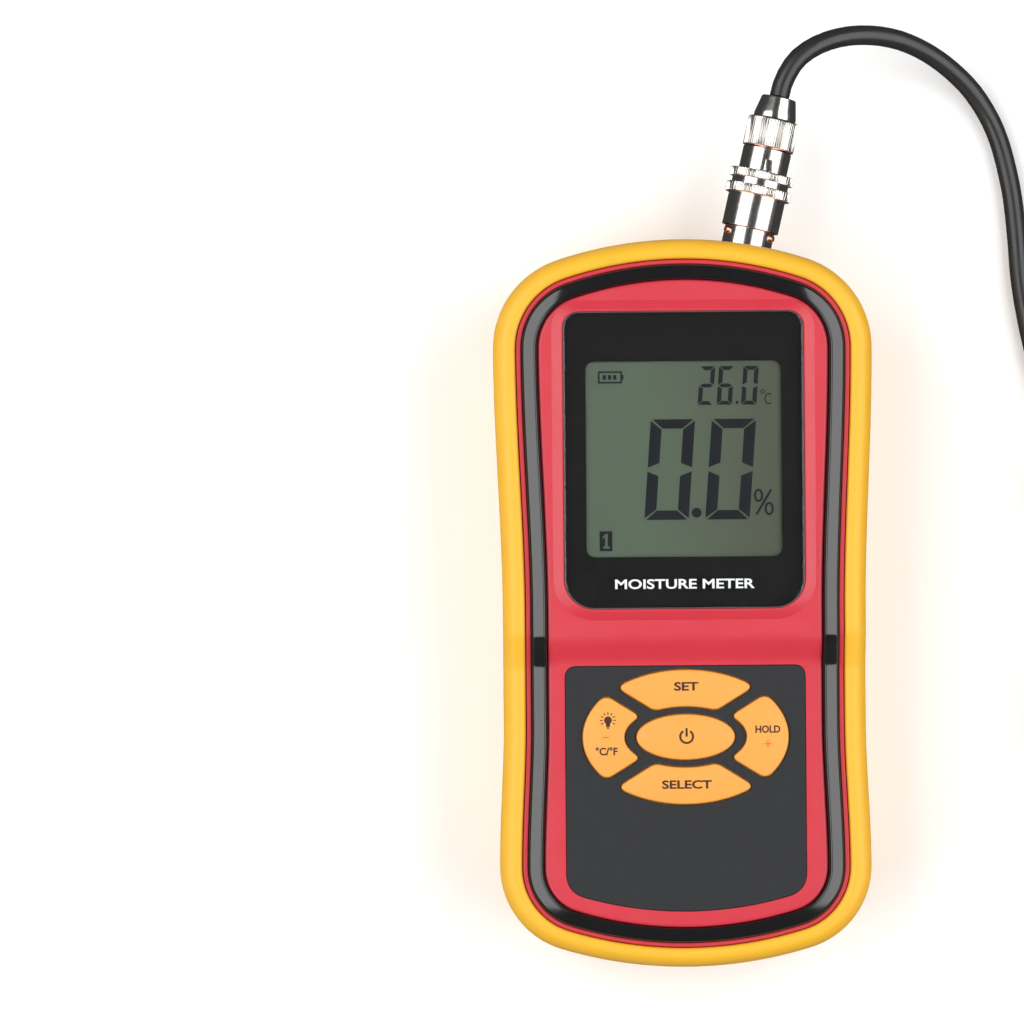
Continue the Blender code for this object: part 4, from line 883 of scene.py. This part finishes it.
def make_display_ink():
    """Digits, unit marks and icons of the liquid-crystal display."""
    low, high = LCD_TOP_Z + 0.02 * MM, LCD_TOP_Z + 0.05 * MM
    bm = bmesh.new()
    big, big_strokes = (9.7 * MM, 22.0 * MM), (2.5 * MM, 2.05 * MM, 0.46 * MM)
    for x in (-3.08, 10.26):
        add_digit(bm, (x * MM, 29.4 * MM), big, big_strokes, "abcdef", low, high)
    small, small_strokes = (3.35 * MM, 8.45 * MM), (0.95 * MM, 0.85 * MM, 0.2 * MM)
    for x, names in ((5.1, "abged"), (9.25, "afgedc"), (14.6, "abcdef")):
        add_digit(bm, (x * MM, 47.7 * MM), small, small_strokes, names, low, high)
    add_prism(bm, circle(1.08 * MM, 32, (2.73 * MM, 19.9 * MM)), low, high)
    add_prism(bm, circle(0.36 * MM, 20, (11.75 * MM, 43.95 * MM)), low, high)
    for x, y in ((16.3, 23.6), (18.6, 20.7)):
        oval = ellipse_arc((0.78 * MM, 1.22 * MM), 0, 2 * math.pi)[:-1]
        ring = [(a + x * MM, b + y * MM) for a, b in oval]
        add_outline_ring(bm, ring, 0.48 * MM, low, high)
    add_stroke(bm, in_mm([(15.8, 19.4), (19.1, 24.9)]), 0.5 * MM, low, high)
    add_outline_ring(bm, circle(0.4 * MM, 16, (17.4 * MM, 46.3 * MM)), 0.2 * MM, low, high)
    letter = [(x + 18.75 * MM, y + 44.75 * MM)
              for x, y in ellipse_arc((0.85 * MM, 1.1 * MM), math.radians(50), math.radians(310), 20)]
    add_stroke(bm, letter, 0.26 * MM, low, high)
    add_battery_icon(bm, low, high)
    piece("display_ink", bm, "lcd_ink", "meter", slot="lcd_grey")
    box = [(-18.55, 11.65), (-15.75, 11.65), (-15.75, 16.0), (-18.55, 16.0)]
    figure = [(-17.75, 12.2), (-16.35, 12.2), (-16.35, 12.7), (-16.75, 12.7), (-16.75, 15.45),
              (-17.15, 15.45), (-17.85, 14.85), (-17.85, 14.4), (-17.35, 14.6), (-17.35, 12.7),
              (-17.75, 12.7)]
    channel = new_object("display_channel_box", shape(add_prism, in_mm(box), low, high))
    combine(channel, shape(add_prism, in_mm(figure), low - MM, high + MM))
    finish_piece(channel, "lcd_ink", "meter", slot="lcd_grey")


def add_battery_icon(bm, low, high):
    """A battery symbol: case, end cap and three bars."""
    outline = in_mm([(-18.45, 48.5), (-13.55, 48.5), (-13.55, 50.8), (-18.45, 50.8)])
    add_outline_ring(bm, outline, 0.36 * MM, low, high)
    for x in (-17.25, -16.1, -14.95):
        add_box(bm, ((x - 0.36) * MM, (x + 0.36) * MM), (49.15 * MM, 50.15 * MM), (low, high))
    add_box(bm, (-13.4 * MM, -13.05 * MM), (49.1 * MM, 50.2 * MM), (low, high))


def make_display():
    """Window with an opaque ring at its polished edge, coloured as a painted highlight, the mask printed on
    its back, and what the display shows.
    """
    lens_foot = LENS_TOP_Z - LENS_THICKNESS
    lens = lens_outline()
    edge = 0.2
    section = [(edge, lens_foot), (edge, LENS_TOP_Z - 0.3 * MM), (edge + 0.08, LENS_TOP_Z - 0.12 * MM),
               (edge + 0.22, LENS_TOP_Z)]
    bm = shape(add_loft, [at_height(grown(lens, -inset * MM), z) for inset, z in section])
    piece("window_lens", bm, "clear_window", "meter", replaces=("display_window",), sharp=25)
    # An opaque ring in the window's outer edge, coloured as a painted highlight of the light that the clear
    # acrylic edge catches.
    bm = shape(add_outline_ring, grown(lens, -edge / 2 * MM), (edge - 0.02) * MM, lens_foot,
               LENS_TOP_Z - 0.1 * MM)
    piece("window_painted_edge_highlight", bm, "painted_lens_edge_highlight", "meter", slot="clear_window")
    opening = rounded_box(GLASS_HALF, GLASS_CENTRE_Y - GLASS_HALF, GLASS_CENTRE_Y + GLASS_HALF,
                          1.9 * MM, 1.9 * MM, 8)
    low, high = lens_foot - 0.3 * MM, lens_foot - 0.1 * MM
    mask = new_object("window_print", shape(add_prism, lens, low, high))
    combine(mask, shape(add_prism, opening, low - MM, high + MM))
    finish_piece(mask, "print_black", "meter", replaces=("window_mask",), slot="gloss_black")
    make_display_ink()


# ---------------------------------------------------------------- lettering


def legend(name, text, centre, width, height, z, look, slot, body, weight=0.028):
    """Flat lettering, fitted to a width and a height about a centre."""
    curve = bpy.data.curves.new(name, "FONT")
    curve.body = text
    curve.offset = weight
    curve.extrude = 0.5
    curve.resolution_u = 4
    source = linked(name + "_type", curve)
    mesh = flattened(source)
    bpy.data.objects.remove(source)
    xs, ys = [v.co.x for v in mesh.vertices], [v.co.y for v in mesh.vertices]
    scale = Vector((width / (max(xs) - min(xs)), height / (max(ys) - min(ys)), INK_THICKNESS))
    middle = Vector(((max(xs) + min(xs)) / 2, (max(ys) + min(ys)) / 2, -0.5))
    for vert in mesh.vertices:
        away = vert.co - middle
        vert.co = Vector((centre[0] + away.x * scale.x, centre[1] + away.y * scale.y, z + away.z * scale.z))
    finish_piece(linked(name, mesh), look, body, slot=slot)


def make_legends():
    key_z = KEY_TOP_Z + 0.01 * MM
    for name, text, centre, width, height, body in (
        ("legend_set", "SET", (0.2, -18.1), 5.3, 1.95, "set_key"),
        ("legend_select", "SELECT", (0.2, -39.6), 10.9, 1.9, "select_key"),
        ("legend_hold", "HOLD", (18.0, -27.6), 5.45, 1.65, "hold_key"),
        ("legend_units", "°C/°F", (-17.35, -32.2), 4.8, 1.8, "light_key"),
    ):
        legend(name, text, (centre[0] * MM, centre[1] * MM), width * MM, height * MM, key_z,
               "legend_brown", "key_amber", body)
    legend("caption", "MOISTURE METER", (0.0, 4.4 * MM), 30.5 * MM, 2.15 * MM, LENS_TOP_Z + 0.005 * MM,
           "caption_white", "gloss_black", "meter", 0.02)


def make_key_marks():
    """Power symbol, lamp symbol, plus and minus on the keys."""
    low, high = KEY_TOP_Z + 0.01 * MM, KEY_TOP_Z + 0.04 * MM
    x, y = 0.2 * MM, -29.0 * MM
    bm = bmesh.new()
    ring = [(a + x, b + y - 0.1 * MM)
            for a, b in ellipse_arc((1.4 * MM, 1.4 * MM), math.radians(122), math.radians(418), 40)]
    add_stroke(bm, ring, 0.46 * MM, low, high)
    add_stroke(bm, [(x, y + 1.75 * MM), (x, y - 0.1 * MM)], 0.46 * MM, low, high)
    piece("mark_power", bm, "legend_brown", "power_key", slot="key_amber")
    x, y = -17.0 * MM, -25.5 * MM
    bm = bmesh.new()
    add_prism(bm, circle(0.85 * MM, 28, (x, y + 0.1 * MM)), low, high)
    for half, top, foot in ((0.42 * MM, 0.6 * MM, 1.4 * MM), (0.25 * MM, 1.5 * MM, 1.75 * MM)):
        add_box(bm, (x - half, x + half), (y - foot, y - top), (low, high))
    for i in range(9):
        angle = math.radians(-30 + 30 * i)
        way = Vector((math.cos(angle), math.sin(angle)))
        middle = Vector((x, y + 0.1 * MM))
        add_stroke(bm, [middle + way * 1.2 * MM, middle + way * 1.78 * MM], 0.2 * MM, low, high)
    piece("mark_lamp", bm, "legend_brown", "light_key", slot="key_amber")
    bm = shape(add_stroke, in_mm([(-18.25, -29.2), (-16.75, -29.2)]), 0.24 * MM, low, high)
    piece("mark_minus", bm, "legend_red", "light_key", slot="key_amber")
    half, thick = 0.82 * MM, 0.12 * MM
    above = [(half, thick), (thick, thick), (thick, half), (-thick, half), (-thick, thick), (-half, thick)]
    cross = above + [(-a, -b) for a, b in above]
    bm = shape(add_prism, [(a + 18.0 * MM, b - 30.8 * MM) for a, b in cross], low, high)
    piece("mark_plus", bm, "legend_red", "hold_key", slot="key_amber")


# ---------------------------------------------------------------- keypad


def make_keypad():
    """Panel with its apertures, a dark seam round each key, and the moulded keys."""
    outline, edge = panel_outline(), 0.1 * MM
    loops = [at_height(outline, PANEL_TOP_Z - PANEL_THICKNESS), at_height(outline, PANEL_TOP_Z - edge),
             at_height(grown(outline, -edge), PANEL_TOP_Z)]
    panel = new_object("panel_overlay", shape(add_loft, loops))
    for key in key_outlines().values():
        combine(panel, shape(add_prism, grown(key, 0.25 * MM), 30 * MM, 40 * MM))
    finish_piece(panel, "panel_grey", "meter", replaces=("keypad_panel",))
    flange_z = PANEL_TOP_Z - PANEL_THICKNESS - 0.4 * MM
    levels = [
        (-0.45, KEY_FOOT_Z), (-0.45, flange_z - 0.8 * MM), (0.45, flange_z - 0.8 * MM), (0.45, flange_z),
        (0.0, flange_z), (0.0, KEY_TOP_Z - 0.5 * MM), (-0.03, KEY_TOP_Z - 0.32 * MM),
        (-0.12, KEY_TOP_Z - 0.16 * MM), (-0.26, KEY_TOP_Z - 0.05 * MM), (-0.42, KEY_TOP_Z),
    ]
    for name, key in key_outlines().items():
        bm = shape(add_loft, [at_height(grown(key, grow * MM), z) for grow, z in levels])
        piece(name + "_key_cap", bm, "key_amber", name + "_key", replaces=("key_" + name,), sharp=50)


# ---------------------------------------------------------------- socket and plug


def tooth_wave(teeth, depth, rows):
    """A wave for add_turned that cuts straight knurling into some rows of a profile."""
    def wave(index, angle):
        if index not in rows:
            return 0.0
        phase = (angle * teeth / (2 * math.pi)) % 1.0
        return -depth * max(0.0, min(1.0, 3.2 * abs(phase - 0.5) - 0.3))
    return wave


def turned_piece(name, profile, look, body, matrix, replaces=(), segments=64, wave=None, slot=None):
    bm = shape(add_turned, in_mm(profile), segments, wave=wave)
    return piece(name, bm, look, body, replaces=replaces, sharp=32, matrix=matrix, slot=slot)


def make_socket(connector):
    barrel = [(3.0, -11.5), (4.7, -11.5), (4.7, -2.5), (5.55, -2.5), (5.55, 9.4), (5.3, 9.8), (4.5, 9.8),
              (4.5, 1.0), (3.0, 1.0)]
    turned_piece("socket_shell", barrel, "nickel", "meter", connector, ("socket_barrel",))
    lug = [(0, -1.0), (0.85, -1.0), (0.85, 0.55), (0.72, 0.85), (0.45, 1.0), (0, 1.05)]
    for i in range(3):
        bm = shape(add_turned, in_mm(lug), 24)
        turn = Matrix.Rotation(math.radians(-30 + 120 * i), 4, "Z")
        place = Matrix.Translation((5.35 * MM, 0, 2.1 * MM)) @ Matrix.Rotation(QUARTER, 4, "Y")
        piece(f"socket_lug_{i + 1}", bm, "copper_edge", "meter", matrix=connector @ turn @ place,
              slot="nickel")


def make_plug(connector):
    """Turning sleeve with two knurled rings, plug body with its key, knurled clamp nut and cable clamp."""
    sleeve = [
        (5.85, 3.4), (6.25, 3.4), (6.35, 3.5), (6.35, 10.8), (7.15, 10.8), (7.35, 11.0), (7.35, 12.7),
        (7.15, 12.9), (6.3, 12.9), (6.3, 14.3), (6.95, 14.3), (7.15, 14.5), (7.15, 16.0), (6.95, 16.2),
        (5.85, 16.2),
    ]
    knurl = tooth_wave(55, 0.4 * MM, (4, 5, 6, 7, 10, 11, 12, 13))
    turned_piece("sleeve_shell", sleeve, "nickel", "sleeve", connector, ("coupling_sleeve",), 440, knurl)
    for name, radius, low in (("sleeve_edge_foot", 6.36, 3.4), ("sleeve_edge_ring", 7.08, 10.68)):
        section = [(radius - 0.5, low), (radius, low), (radius, low + 0.14), (radius - 0.5, low + 0.14)]
        turned_piece(name, section, "copper_edge", "sleeve", connector, segments=96, slot="nickel")
    body = [
        (3.0, 4.2), (4.2, 4.2), (4.2, 10.3), (5.4, 10.3), (5.4, 21.2), (5.2, 21.4), (3.7, 21.4), (3.7, 26.5),
        (2.6, 26.5), (2.6, 12.0), (3.0, 12.0),
    ]
    turned_piece("plug_shell", body, "nickel", "lead", connector, ("plug_body",), 96)
    key = new_object("plug_key", shape(add_box, *in_mm([(-0.1, 2.0), (-6.1, -4.9), (16.25, 18.9)])))
    soften(key, 0.15 * MM)
    finish_piece(key, "nickel", "lead", matrix=connector)
    nut = [(4.0, 21.7), (5.5, 21.7), (5.7, 21.9), (5.7, 27.9), (5.4, 28.2), (2.9, 28.2), (2.9, 26.9),
           (4.0, 26.9)]
    knurl = tooth_wave(60, 0.26 * MM, (1, 2, 3, 4))
    turned_piece("clamp_nut_shell", nut, "nickel", "lead", connector, ("clamp_nut",), 480, knurl)
    section = [(5.2, 21.62), (5.68, 21.62), (5.68, 21.72), (5.2, 21.72)]
    turned_piece("clamp_nut_edge", section, "copper_edge", "lead", connector, segments=96, slot="nickel")
    clamp = [(2.5, 28.4), (4.75, 28.4), (4.7, 29.2), (4.55, 29.9), (3.85, 33.0), (3.65, 33.2), (2.5, 33.2)]
    turned_piece("cable_collet", clamp, "nickel", "lead", connector, ("cable_clamp",), 96)


# ---------------------------------------------------------------- lead


def near_route():
    """The lead from the plug, over the surface, to the hank. Its first points are on the plug's axis."""
    start = connector_matrix() @ Vector((0, 0, 33.5 * MM))
    free = [
        (23.6, 116.0, 19.9), (26.6, 120.6, 19.7), (31.4, 123.8, 19.0), (37.2, 125.6, 17.6),
        (43.2, 126.0, 15.8), (48.9, 125.3, 13.4), (54.0, 123.6, 10.9), (58.5, 121.2, 8.6),
        (62.5, 118.3, 6.5), (66.2, 114.8, 4.7), (69.3, 110.6, 3.4), (71.8, 105.9, 2.6),
        (73.8, 100.0, 2.25), (75.7, 91.0, 2.25), (76.7, 81.5, 2.25), (77.4, 72.0, 2.25),
        (78.8, 63.0, 2.25), (80.8, 54.0, 2.25), (83.3, 45.0, 2.25), (86.0, 36.5, 2.25),
    ]
    return [start] + [Vector(p) * MM for p in free]


def far_route():
    """The lead from the top of the hank, down to the surface, and round into the probe's strain relief."""
    end = probe_matrix() @ Vector((0, 0, HANDLE_LENGTH + RELIEF_LENGTH + 0.3 * MM))
    free = [
        (117.3, 41.0, 13.0), (116.6, 54.0, 10.6), (114.4, 67.0, 7.4), (111.3, 80.0, 4.6),
        (108.6, 93.0, 2.9), (107.0, 106.0, 2.3), (106.4, 119.0, 2.25), (106.6, 131.0, 2.3),
        (107.8, 143.0, 2.8), (111.2, 154.0, 4.2), (117.2, 163.0, 7.4), (125.2, 168.6, 12.0),
        (134.2, 169.4, 16.8), (142.2, 165.4, 20.7), (147.6, 158.2, 23.0), (149.8, 151.0, 23.9),
    ]
    return [Vector(p) * MM for p in free] + [end]


def quarter_strand(radius):
    """From the hank's waist to the right side of its north lobe: points about the hank's centre."""
    start = Vector((STRAND_OFFSET, 0))
    bend = Vector((STRAND_OFFSET + WAIST_BEND, WAIST_STRAIGHT))
    points = [start, start + Vector((0, WAIST_STRAIGHT))]
    for i in range(1, 6):
        angle = math.pi - LOBE_SWING * i / 5
        points.append(bend + Vector((math.cos(angle), math.sin(angle))) * WAIST_BEND)
    reach = (radius * math.cos(LOBE_SWING) - points[-1].x) / math.sin(LOBE_SWING)
    points.append(points[-1] + Vector((math.sin(LOBE_SWING), math.cos(LOBE_SWING))) * reach)
    centre_y = points[-1].y + radius * math.sin(LOBE_SWING)
    for i in range(1, 5):
        angle = -LOBE_SWING * (1 - i / 4)
        points.append(Vector((radius * math.cos(angle), centre_y + radius * math.sin(angle))))
    return points, centre_y


def half_loop(radius):
    """One pass of the hank from the right of its waist, round the north lobe, to the left of its waist."""
    rising, centre_y = quarter_strand(radius)
    over = [Vector((radius * math.cos(a), centre_y + radius * math.sin(a)))
            for a in (math.pi * i / 9 for i in range(1, 9))]
    return rising + over + [Vector((-p.x, p.y)) for p in reversed(rising)]


def lifted(points, low, high):
    """2D points of the hank in the frame's place, rising evenly from one height to another."""
    walked = [0.0]
    for a, b in zip(points, points[1:]):
        walked.append(walked[-1] + (b - a).length)
    return [Vector((p.x + HANK_CENTRE.x, p.y + HANK_CENTRE.y, low + (high - low) * w / walked[-1]))
            for p, w in zip(points, walked)]


def hank_route():
    """The lead's passes through the tied hank, from the surface up."""
    first, _ = quarter_strand(LOBE_RADII[0])
    down = [Vector((-p.x, p.y)) for p in reversed(first)]
    route = lifted(down, STRAND_FOOT_Z, STRAND_FOOT_Z)
    for i, radius in enumerate(LOBE_RADII):
        side = 1 if i % 2 else -1
        loop = [p * side for p in half_loop(radius)]
        low = STRAND_FOOT_Z + STRAND_RISE * i
        route += lifted(loop, low, low + STRAND_RISE)[1:]
    top = STRAND_FOOT_Z + STRAND_RISE * len(LOBE_RADII)
    return route + lifted(first, top, top - 0.2 * MM)[1:]


def smooth_route(points, spacing):
    """Points about spacing apart on a smooth curve through the route's own points."""
    places = [Vector(p) for p in points]
    ends = [places[0] * 2 - places[1]] + places + [places[-1] * 2 - places[-2]]
    fine = []
    per_span = 24
    for before, start, end, after in zip(ends, ends[1:], ends[2:], ends[3:]):
        for k in range(per_span):
            t = k / per_span
            fine.append(0.5 * (2 * start + (end - before) * t
                               + (2 * before - 5 * start + 4 * end - after) * t * t
                               + (3 * start - before - 3 * end + after) * t ** 3))
    fine.append(places[-1])
    total = sum((b - a).length for a, b in zip(fine, fine[1:]))
    count = max(2, round(total / spacing))
    made, walked, wanted = [fine[0]], 0.0, total / count
    for a, b in zip(fine, fine[1:]):
        walked += (b - a).length
        if walked >= wanted * len(made) and len(made) < count:
            made.append(b)
    return made + [fine[-1]]


def tube(name, points, radius, look, body, resolution):
    """A poly curve with a round section."""
    curve = bpy.data.curves.new(name, "CURVE")
    curve.dimensions = "3D"
    curve.bevel_depth = radius
    curve.bevel_resolution = resolution
    curve.use_fill_caps = True
    spline = curve.splines.new("POLY")
    spline.points.add(len(points) - 1)
    for target, place in zip(spline.points, points):
        target.co = (*place, 1.0)
    spline.use_smooth = True
    curve.materials.append(LOOKS[look])
    obj = linked(name, curve)
    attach(obj, body)
    return obj


def make_tie():
    """A black wire tie: three turns round the hank's waist and its two ends twisted together on top."""
    half_x, low, high = 5.45 * MM, 0.65 * MM, 16.9 * MM
    band = rounded_box(half_x, low, high, 1.8 * MM, 2.6 * MM, 6)
    route = []
    for turn in range(3):
        for i, (x, z) in enumerate(band):
            share = turn + i / len(band)
            route.append(Vector((HANK_CENTRE.x + x, HANK_CENTRE.y + (share - 1.5) * 1.7 * MM, z)))
    tie = tube("wire_tie", route, 0.7 * MM, "black_plastic", "lead", 4)
    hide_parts("hank_tie")
    ends = []
    for side in (0, math.pi):
        points = []
        for i in range(33):
            t = i / 32
            spin = side + t * 5 * math.pi
            reach = 0.75 * MM
            points.append(Vector((HANK_CENTRE.x + (1.5 + 9 * t) * MM,
                                  HANK_CENTRE.y + (1.0 + 5 * t) * MM + reach * math.cos(spin),
                                  17.2 * MM + reach * math.sin(spin) - 1.2 * MM * t)))
        ends.append(tube(f"wire_tie_end_{len(ends) + 1}", points, 0.62 * MM, "black_plastic", "lead", 4))
    return [tie] + ends


def make_lead():
    route = near_route() + hank_route() + far_route()
    points = smooth_route(route, CORD_SPACING)
    lead = tube("instrument_lead", points, CORD_DIAMETER / 2, "cord_black", "lead", 8)
    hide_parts("cord_near", "cord_far", "cord_hank")
    tuple(route[0])
    make_tie()


# ---------------------------------------------------------------- probe


def handle_section():
    """Closed half section of the handle's wall, as (radius, height) in mm, with its ring grooves."""
    outer = [(12.4, 0.0), (16.6, 0.0), (17.2, 0.3), (17.6, 0.9), (17.6, 3.4), (17.35, 4.0), (16.95, 4.3),
             (16.85, 4.6), (17.0, 5.0), (17.1, 5.6), (17.1, 7.4), (16.95, 8.0), (16.7, 8.4), (16.75, 9.0),
             (16.85, 10.0), (15.9, 41.0)]
    for groove in (42.7, 53.2, 64.4, 75.5, 86.4):
        outer += [(15.75, groove - 1.25), (15.2, groove - 0.8), (14.75, groove - 0.25), (14.7, groove),
                  (14.75, groove + 0.25), (15.2, groove + 0.8), (15.75, groove + 1.25),
                  (15.85, groove + 2.2)]
    outer += [(15.85, 91.5), (15.8, 105.6), (15.6, 106.4), (15.3, 107.2), (15.35, 107.7), (15.9, 108.3),
              (16.4, 109.0), (16.45, 111.6), (16.3, 112.4), (15.7, 113.0)]
    inner = [(5.2, 113.0), (5.2, 110.5), (12.4, 110.5)]
    return outer + inner


def screw_matrix(place):
    """Local Z out of the handle's front, at a place along the probe."""
    return Matrix.Translation((0, 0, place)) @ Matrix.Rotation(QUARTER, 4, "X")


def make_handle(probe):
    """Handle in two halves, with two countersunk holes, and its two cross-head screws."""
    for name, up in (("upper", 1), ("lower", -1)):
        start = math.pi if up > 0 else 0.0
        bm = shape(add_turned, in_mm(handle_section()), 48, math.pi, start=start)
        bmesh.ops.translate(bm, vec=(0, -up * 0.1 * MM, 0), verts=bm.verts)
        shell = new_object("handle_half_" + name, bm)
        if up > 0:
            for place in HANDLE_SCREWS_AT:
                bore(shell, [(0, 7), (3.1, 7), (3.1, 15.2), (3.5, 24), (0, 24)], 32, screw_matrix(place))
        finish_piece(shell, "black_plastic", "lead", replaces=("handle_shell_" + name,), sharp=35,
                     matrix=probe)
    profile = [(0, 8.9), (1.2, 8.85), (2.0, 8.6), (2.4, 8.2), (2.4, 6.3), (1.25, 6.3), (1.25, -7), (0, -7.6)]
    for word, place in zip(("lower", "upper"), HANDLE_SCREWS_AT):
        screw = new_object("handle_screw_head_" + word, shape(add_turned, in_mm(profile), 32))
        for x, y in ((1.5, 0.28), (0.28, 1.5)):
            combine(screw, shape(add_box, *in_mm([(-x, x), (-y, y), (7.8, 10)])))
        finish_piece(screw, "screw_steel", "lead", replaces=("handle_screw_" + word,),
                     matrix=probe @ screw_matrix(place))


def make_prongs(probe):
    foot = (TIP_LENGTH - PRONG_LENGTH) / MM
    point = -PRONG_LENGTH / MM
    shoulder = (CONE_LENGTH - PRONG_LENGTH) / MM
    tube_section = [(2.5, foot + 0.3), (3.4, foot + 0.3), (3.5, foot + 0.4), (3.5, 13.2), (2.5, 13.2)]
    tip_section = [(0, point), (0.22, point + 0.2), (0.4, point + 0.7), (3.45, shoulder - 0.2),
                   (3.5, shoulder + 0.2), (3.5, foot - 0.1), (3.4, foot), (2.2, foot), (2.2, foot + 8),
                   (0, foot + 8)]
    for side, word in ((-1, "left"), (1, "right")):
        for name, node, section, sharp in (("tube_", "prong_", tube_section, 30),
                                           ("point_", "prong_tip_", tip_section, 20)):
            bm = shape(add_turned, in_mm(section), 48, centre=(side * PRONG_SPACING / 2, 0))
            piece("prong_" + name + word, bm, "steel", "lead", replaces=(node + word,), sharp=sharp,
                  matrix=probe)


def make_relief(probe):
    section = [(2.5, 109.0), (3.8, 106.0), (6.6, 106.0), (6.6, 110.2), (4.9, 110.2), (4.9, 113.3),
               (5.2, 113.7)]
    for i in range(4):
        radius = 5.0 - 0.55 * i
        at = 114.4 + 2.6 * i
        section += [(radius, at), (radius + 0.06, at + 0.35), (radius + 0.06, at + 0.9), (radius, at + 1.25),
                    (radius - 0.8, at + 1.5), (radius - 1.1, at + 1.75), (radius - 1.1, at + 2.2)]
    section += [(3.1, 125.0), (2.5, 125.0)]
    turned_piece("relief_boot", section, "cord_black", "lead", probe, ("strain_relief",), 48)


# ---------------------------------------------------------------- remaining CAD nodes and the studio


def dress_cad_nodes():
    """Gives each CAD node the procedural material of its slot."""
    for part in frame["record"]["subparts"]:
        node = frame["nodes"][part["node"]]
        look = LOOKS[part["material_slot"]]
        if not node.material_slots:
            node.data.materials.append(look)
        for slot in node.material_slots:
            slot.material = look


def add_panel_light(name, place, size, power, reflected=True):
    """An area light that faces LIGHT_TARGET and that the camera doesn't see."""
    light = bpy.data.lights.new(name, "AREA")
    light.shape = "RECTANGLE"
    light.size, light.size_y = size
    light.energy = power
    obj = linked(name, light)
    obj.visible_camera = False
    obj.visible_glossy = reflected
    obj.visible_transmission = reflected
    obj.location = place
    aim = LIGHT_TARGET - Vector(place)
    across = Vector((0, 1, 0)).cross(aim).normalized()
    up = across.cross(aim).normalized()
    obj.rotation_euler = Matrix((across, -up, -aim.normalized())).transposed().to_euler()


def make_studio():
    """Pale floor, a softbox on each side, a fill light that gives no reflection, and a dim room."""
    scene = bpy.context.scene
    scene.view_settings.view_transform = "Standard"
    side = (-FLOOR_HALF, FLOOR_HALF)
    floor = new_object("floor", shape(add_box, side, side, (-0.02, 0.0)))
    floor.data.materials.append(LOOKS["floor"])
    floor.visible_glossy = False
    add_panel_light("softbox_left", (-0.62, 0.12, 0.72), SOFTBOX_SIZE, SOFTBOX_POWER)
    add_panel_light("softbox_right", (0.68, 0.12, 0.70), SOFTBOX_SIZE, SOFTBOX_POWER)
    add_panel_light("overhead_fill", (0.0, 0.25, 1.6), (2.0, 2.0), 6.0, reflected=False)
    world = bpy.data.worlds.new("room")
    scene.world = world
    world.use_nodes = True
    world.node_tree.nodes["Background"].inputs["Color"].default_value = (0.06, 0.06, 0.06, 1.0)


def make_camera():
    camera = bpy.data.cameras.new("camera")
    camera.lens = CAMERA_LENS
    camera.sensor_width = CAMERA_SENSOR
    obj = linked("camera", camera)
    obj.location = CAMERA_AT
    obj.rotation_euler = (0, 0, CAMERA_ROLL)
    bpy.context.scene.camera = obj


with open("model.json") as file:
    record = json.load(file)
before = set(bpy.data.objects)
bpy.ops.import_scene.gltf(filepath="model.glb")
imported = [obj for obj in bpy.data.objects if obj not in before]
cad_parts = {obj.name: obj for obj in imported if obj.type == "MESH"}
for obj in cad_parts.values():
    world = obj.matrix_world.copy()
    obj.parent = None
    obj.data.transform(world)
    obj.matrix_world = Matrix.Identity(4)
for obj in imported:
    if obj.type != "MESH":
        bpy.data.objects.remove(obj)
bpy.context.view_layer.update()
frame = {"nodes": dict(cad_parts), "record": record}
LOOKS = make_looks()
CONNECTOR = connector_matrix()
PROBE = probe_matrix()
make_camera()
make_studio()
dress_cad_nodes()
make_lead()
make_boot(CONNECTOR)
make_front_case(CONNECTOR)
make_trim()
make_back()
make_display()
make_keypad()
make_legends()
make_key_marks()
make_socket(CONNECTOR)
make_plug(CONNECTOR)
make_handle(PROBE)
make_prongs(PROBE)
make_relief(PROBE)
